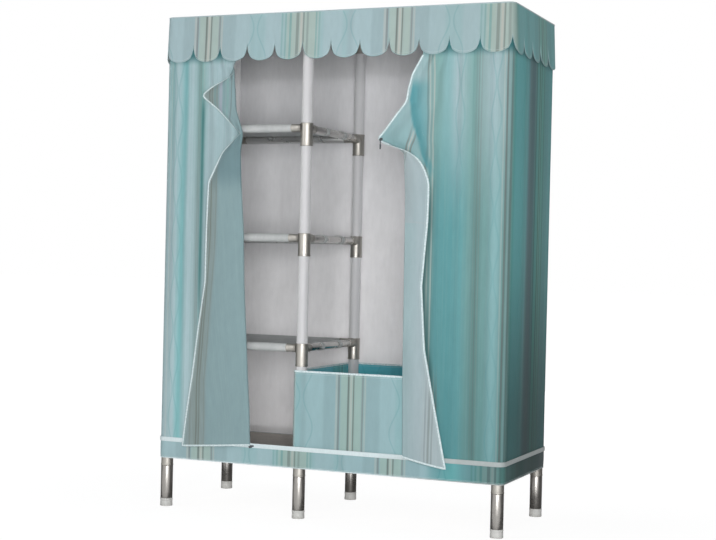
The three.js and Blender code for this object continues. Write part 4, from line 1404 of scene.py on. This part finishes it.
def make_zip():
    """The slider at the right curtain's tip, and the pull that hangs on its cross pin."""
    low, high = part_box("zip_slider")
    pull_low, pull_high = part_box("zip_pull")
    x = (pull_low.x + pull_high.x) / 2
    knuckle = 2.7 * mm
    pin_y = pull_low.y + knuckle
    pin_z = pull_high.z - knuckle
    body_y = high.y - 6 * mm
    middle_z = (low.z + high.z) / 2
    at_pin = at(x, pin_y, pin_z, along_x)
    slider = Shape()
    add_block(slider, spread(x, 5.5 * mm), (body_y, high.y), (middle_z - mm, high.z), mm)
    add_block(slider, spread(x, 4.2 * mm), (body_y + 0.3 * mm, high.y - 0.3 * mm),
              (low.z, middle_z + mm), mm)
    for cheek in (-3.8 * mm, 3.8 * mm):
        add_block(slider, spread(x + cheek, 0.8 * mm), (pin_y - 2.2 * mm, body_y + mm),
                  spread(pin_z, 2.2 * mm), 0.5 * mm)
    pin_end, pin_radius = 4.2 * mm, 1.2 * mm
    add_turned(slider, [(0.0, -pin_end), (pin_radius, -pin_end), (pin_radius, pin_end),
                        (0.0, pin_end)], at_pin, 16)
    place_piece(slider, "zip_slider_body", [zinc], "zip_slider", zip_angle, "right_curtain")
    pull = Shape()
    foot = pull_low.z
    add_turned(pull, rounded(knuckle, -2.4 * mm, 2.4 * mm, 0.4 * mm, 1.5 * mm), at_pin, 20)
    add_block(pull, spread(x, 1.6 * mm), spread(pin_y, 0.8 * mm),
              (foot + 15 * mm, pin_z - 1.6 * mm), 0.4 * mm)
    add_block(pull, spread(x, 2.5 * mm), spread(pin_y, mm), (foot, foot + 17 * mm), 0.7 * mm)
    for step in range(4):
        rib = foot + (3 + 3 * step) * mm
        add_block(pull, spread(x, 2.1 * mm), spread(pin_y, 1.3 * mm), (rib, rib + 1.2 * mm), 0.25 * mm)
    place_piece(pull, "zip_pull_tab", [zinc], "zip_pull", zip_angle, "zip_pull")


def make_zip_end():
    """The other zip's end, at the skirt's top edge below the left bay."""
    x, z, lean = -0.263, 0.2325, math.radians(-16)
    place = at(x, front_y - cloth_line - 5.2 * mm, z, Matrix.Rotation(lean, 4, "Y"))
    end = Shape()
    add_block(end, (-8.5 * mm, 3.5 * mm), spread(0.0, 2.2 * mm), spread(0.0, 4.5 * mm), mm)
    add_block(end, (2.5 * mm, 10.5 * mm), spread(0.0, 1.6 * mm), spread(0.0, 3.0 * mm), 0.8 * mm)
    piece = end.build("zip_end", [zinc], zip_angle)
    piece.data.transform(place)
    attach(piece, "frame")


make_columns()
make_rungs()
make_rails()
make_hanging_rod()
make_roof()
make_valance()
make_side("left_side_cloth", -1, left_side_print)
make_side("right_side_cloth", 1, side_print)
make_skirt()
make_back()
make_curtain("left_curtain", -1, left_pleat_width, left_reach, left_lapel, left_sag,
             left_row_shares, 2.0, [left_front, left_reverse], 16)
make_curtain("right_curtain", 1, right_pleat_width, right_reach, right_lapel, right_sag,
             right_row_shares, 4.0, [right_front, right_reverse], 8)
make_bin()
make_shelf("shelf_low", 41)
make_shelf("shelf_mid", 43)
make_shelf("shelf_high", 47)
make_floor_cloth()
make_zip()
make_zip_end()

# The set
floor_tone = 0.86
near_glow = 0.925
shadow_share = 0.2


def make_camera():
    """The camera stands where the photograph was taken from."""
    place = Vector((1.9814, -4.7125, 0.8757))
    azimuth, fall, roll = (math.radians(angle) for angle in (22.68773, 0.42283, 1.33513))
    level_ahead = Vector((-math.sin(azimuth), math.cos(azimuth), 0.0))
    ahead = level_ahead * math.cos(fall) - Vector((0.0, 0.0, math.sin(fall)))
    right = Vector((math.cos(azimuth), math.sin(azimuth), 0.0))
    up = right.cross(ahead)
    tilted_right = math.cos(roll) * right + math.sin(roll) * up
    tilted_up = math.cos(roll) * up - math.sin(roll) * right
    data = bpy.data.cameras.new("photo_camera")
    data.sensor_fit = "HORIZONTAL"
    data.sensor_width = 36
    data.lens = 74.03
    camera = link("photo_camera", data)
    turn = Matrix((tilted_right, tilted_up, -ahead)).transposed().to_4x4()
    camera.matrix_world = Matrix.Translation(place) @ turn
    bpy.context.scene.camera = camera


def seen_directly(graph):
    """1 for camera, mirror and glass rays, 0 for light that falls on the object."""
    rays = graph.node("LightPath").outputs
    mirror = graph.math("MAXIMUM", rays["Is Camera Ray"], rays["Is Glossy Ray"])
    return graph.math("MAXIMUM", mirror, rays["Is Transmission Ray"])


def make_world(light):
    graph = Graph("studio", "worlds")
    lit, shown = (graph.node("Background", {0: color, 1: level}).outputs[0]
                  for color, level in (((0.97, 0.99, 1.0, 1), light), (white, 1.0)))
    graph.show(seen_directly(graph), lit, shown, "World Output")
    bpy.context.scene.world = graph.owner


def stage_face(name, corners, material):
    mesh = bpy.data.meshes.new(name)
    mesh.from_pydata(corners, [], [(0, 1, 2, 3)])
    mesh.materials.append(material)
    return link(name, mesh)


def make_floor():
    """Pale floor that light sees as matt, and the camera as white with the object's soft shadow."""
    graph = Graph("studio_floor")
    matt, shadow = (graph.node("BsdfDiffuse", {0: (level, level, level, 1)}).outputs[0]
                    for level in (floor_tone, floor_tone * shadow_share))
    place, *_ = graph.place()
    away = graph.node("VectorMath", {0: place}, operation="LENGTH").outputs["Value"]
    level = graph.between(away, 0.9, 3.5, near_glow, 1.0)
    glow = graph.node("Emission", {0: white, 1: level}).outputs[0]
    shown = graph.node("AddShader", {0: glow, 1: shadow}).outputs[0]
    graph.show(seen_directly(graph), matt, shown)
    reach = 40.0
    corners = [(-reach, -reach, 0), (reach, -reach, 0), (reach, reach, 0), (-reach, reach, 0)]
    stage_face("studio_floor", corners, graph.owner)


def make_lamp(name, place, aim, size, watts):
    data = bpy.data.lights.new(name, "AREA")
    data.shape = "RECTANGLE"
    data.size, data.size_y = size
    data.energy = watts
    lamp = link(name, data)
    turn = (Vector(aim) - Vector(place)).to_track_quat("-Z", "Y").to_matrix().to_4x4()
    lamp.matrix_world = Matrix.Translation(place) @ turn
    lamp.visible_camera = False


def make_cards():
    """Dark cards round and under the set, which only mirrors see: they darken the steel's edges."""
    black, grey = (Graph(name).finish((level, level, level, 1), 0.9)
                   for name, level in (("black_card", 0.01), ("grey_card", 0.12)))
    low, top = 0.5 * mm, 3.0
    cards = {"card_floor": [(-3.0, -0.3, low), (3.0, -0.3, low), (3.0, 2.5, low), (-3.0, 2.5, low)]}
    for name, start, end in (("card_left", (-3.6, -2.2), (-3.2, 3.6)),
                             ("card_right", (3.8, -1.6), (3.4, 3.6)),
                             ("card_back", (-2.6, 4.2), (2.8, 4.2))):
        cards[name] = [(*start, 0.0), (*end, 0.0), (*end, top), (*start, top)]
    for name, corners in cards.items():
        card = stage_face(name, corners, grey if name == "card_floor" else black)
        card.visible_camera = False
        card.visible_diffuse = False
        card.visible_shadow = False
        card.visible_transmission = False


make_camera()
make_world(0.16)
make_floor()
make_cards()
make_lamp("key_lamp", (2.1, -5.3, 1.05), (0.0, 0.0, 0.9), (2.4, 2.0), 186)
make_lamp("right_lamp", (4.0, -4.4, 1.2), (-0.3, 0.0, 0.9), (1.6, 1.6), 34)
make_lamp("left_lamp", (-3.2, -3.4, 2.6), (0.0, 0.0, 0.9), (2.0, 2.0), 40)
make_lamp("back_lamp", (0.0, 5.0, 0.95), (0.0, 0.0, 0.8), (2.5, 2.5), 112)
make_lamp("roof_lamp", (0.0, 0.01, 2.7), (0.0, 0.01, 1.7), (1.2, 0.45), 10)
bpy.context.scene.view_settings.view_transform = "Standard"
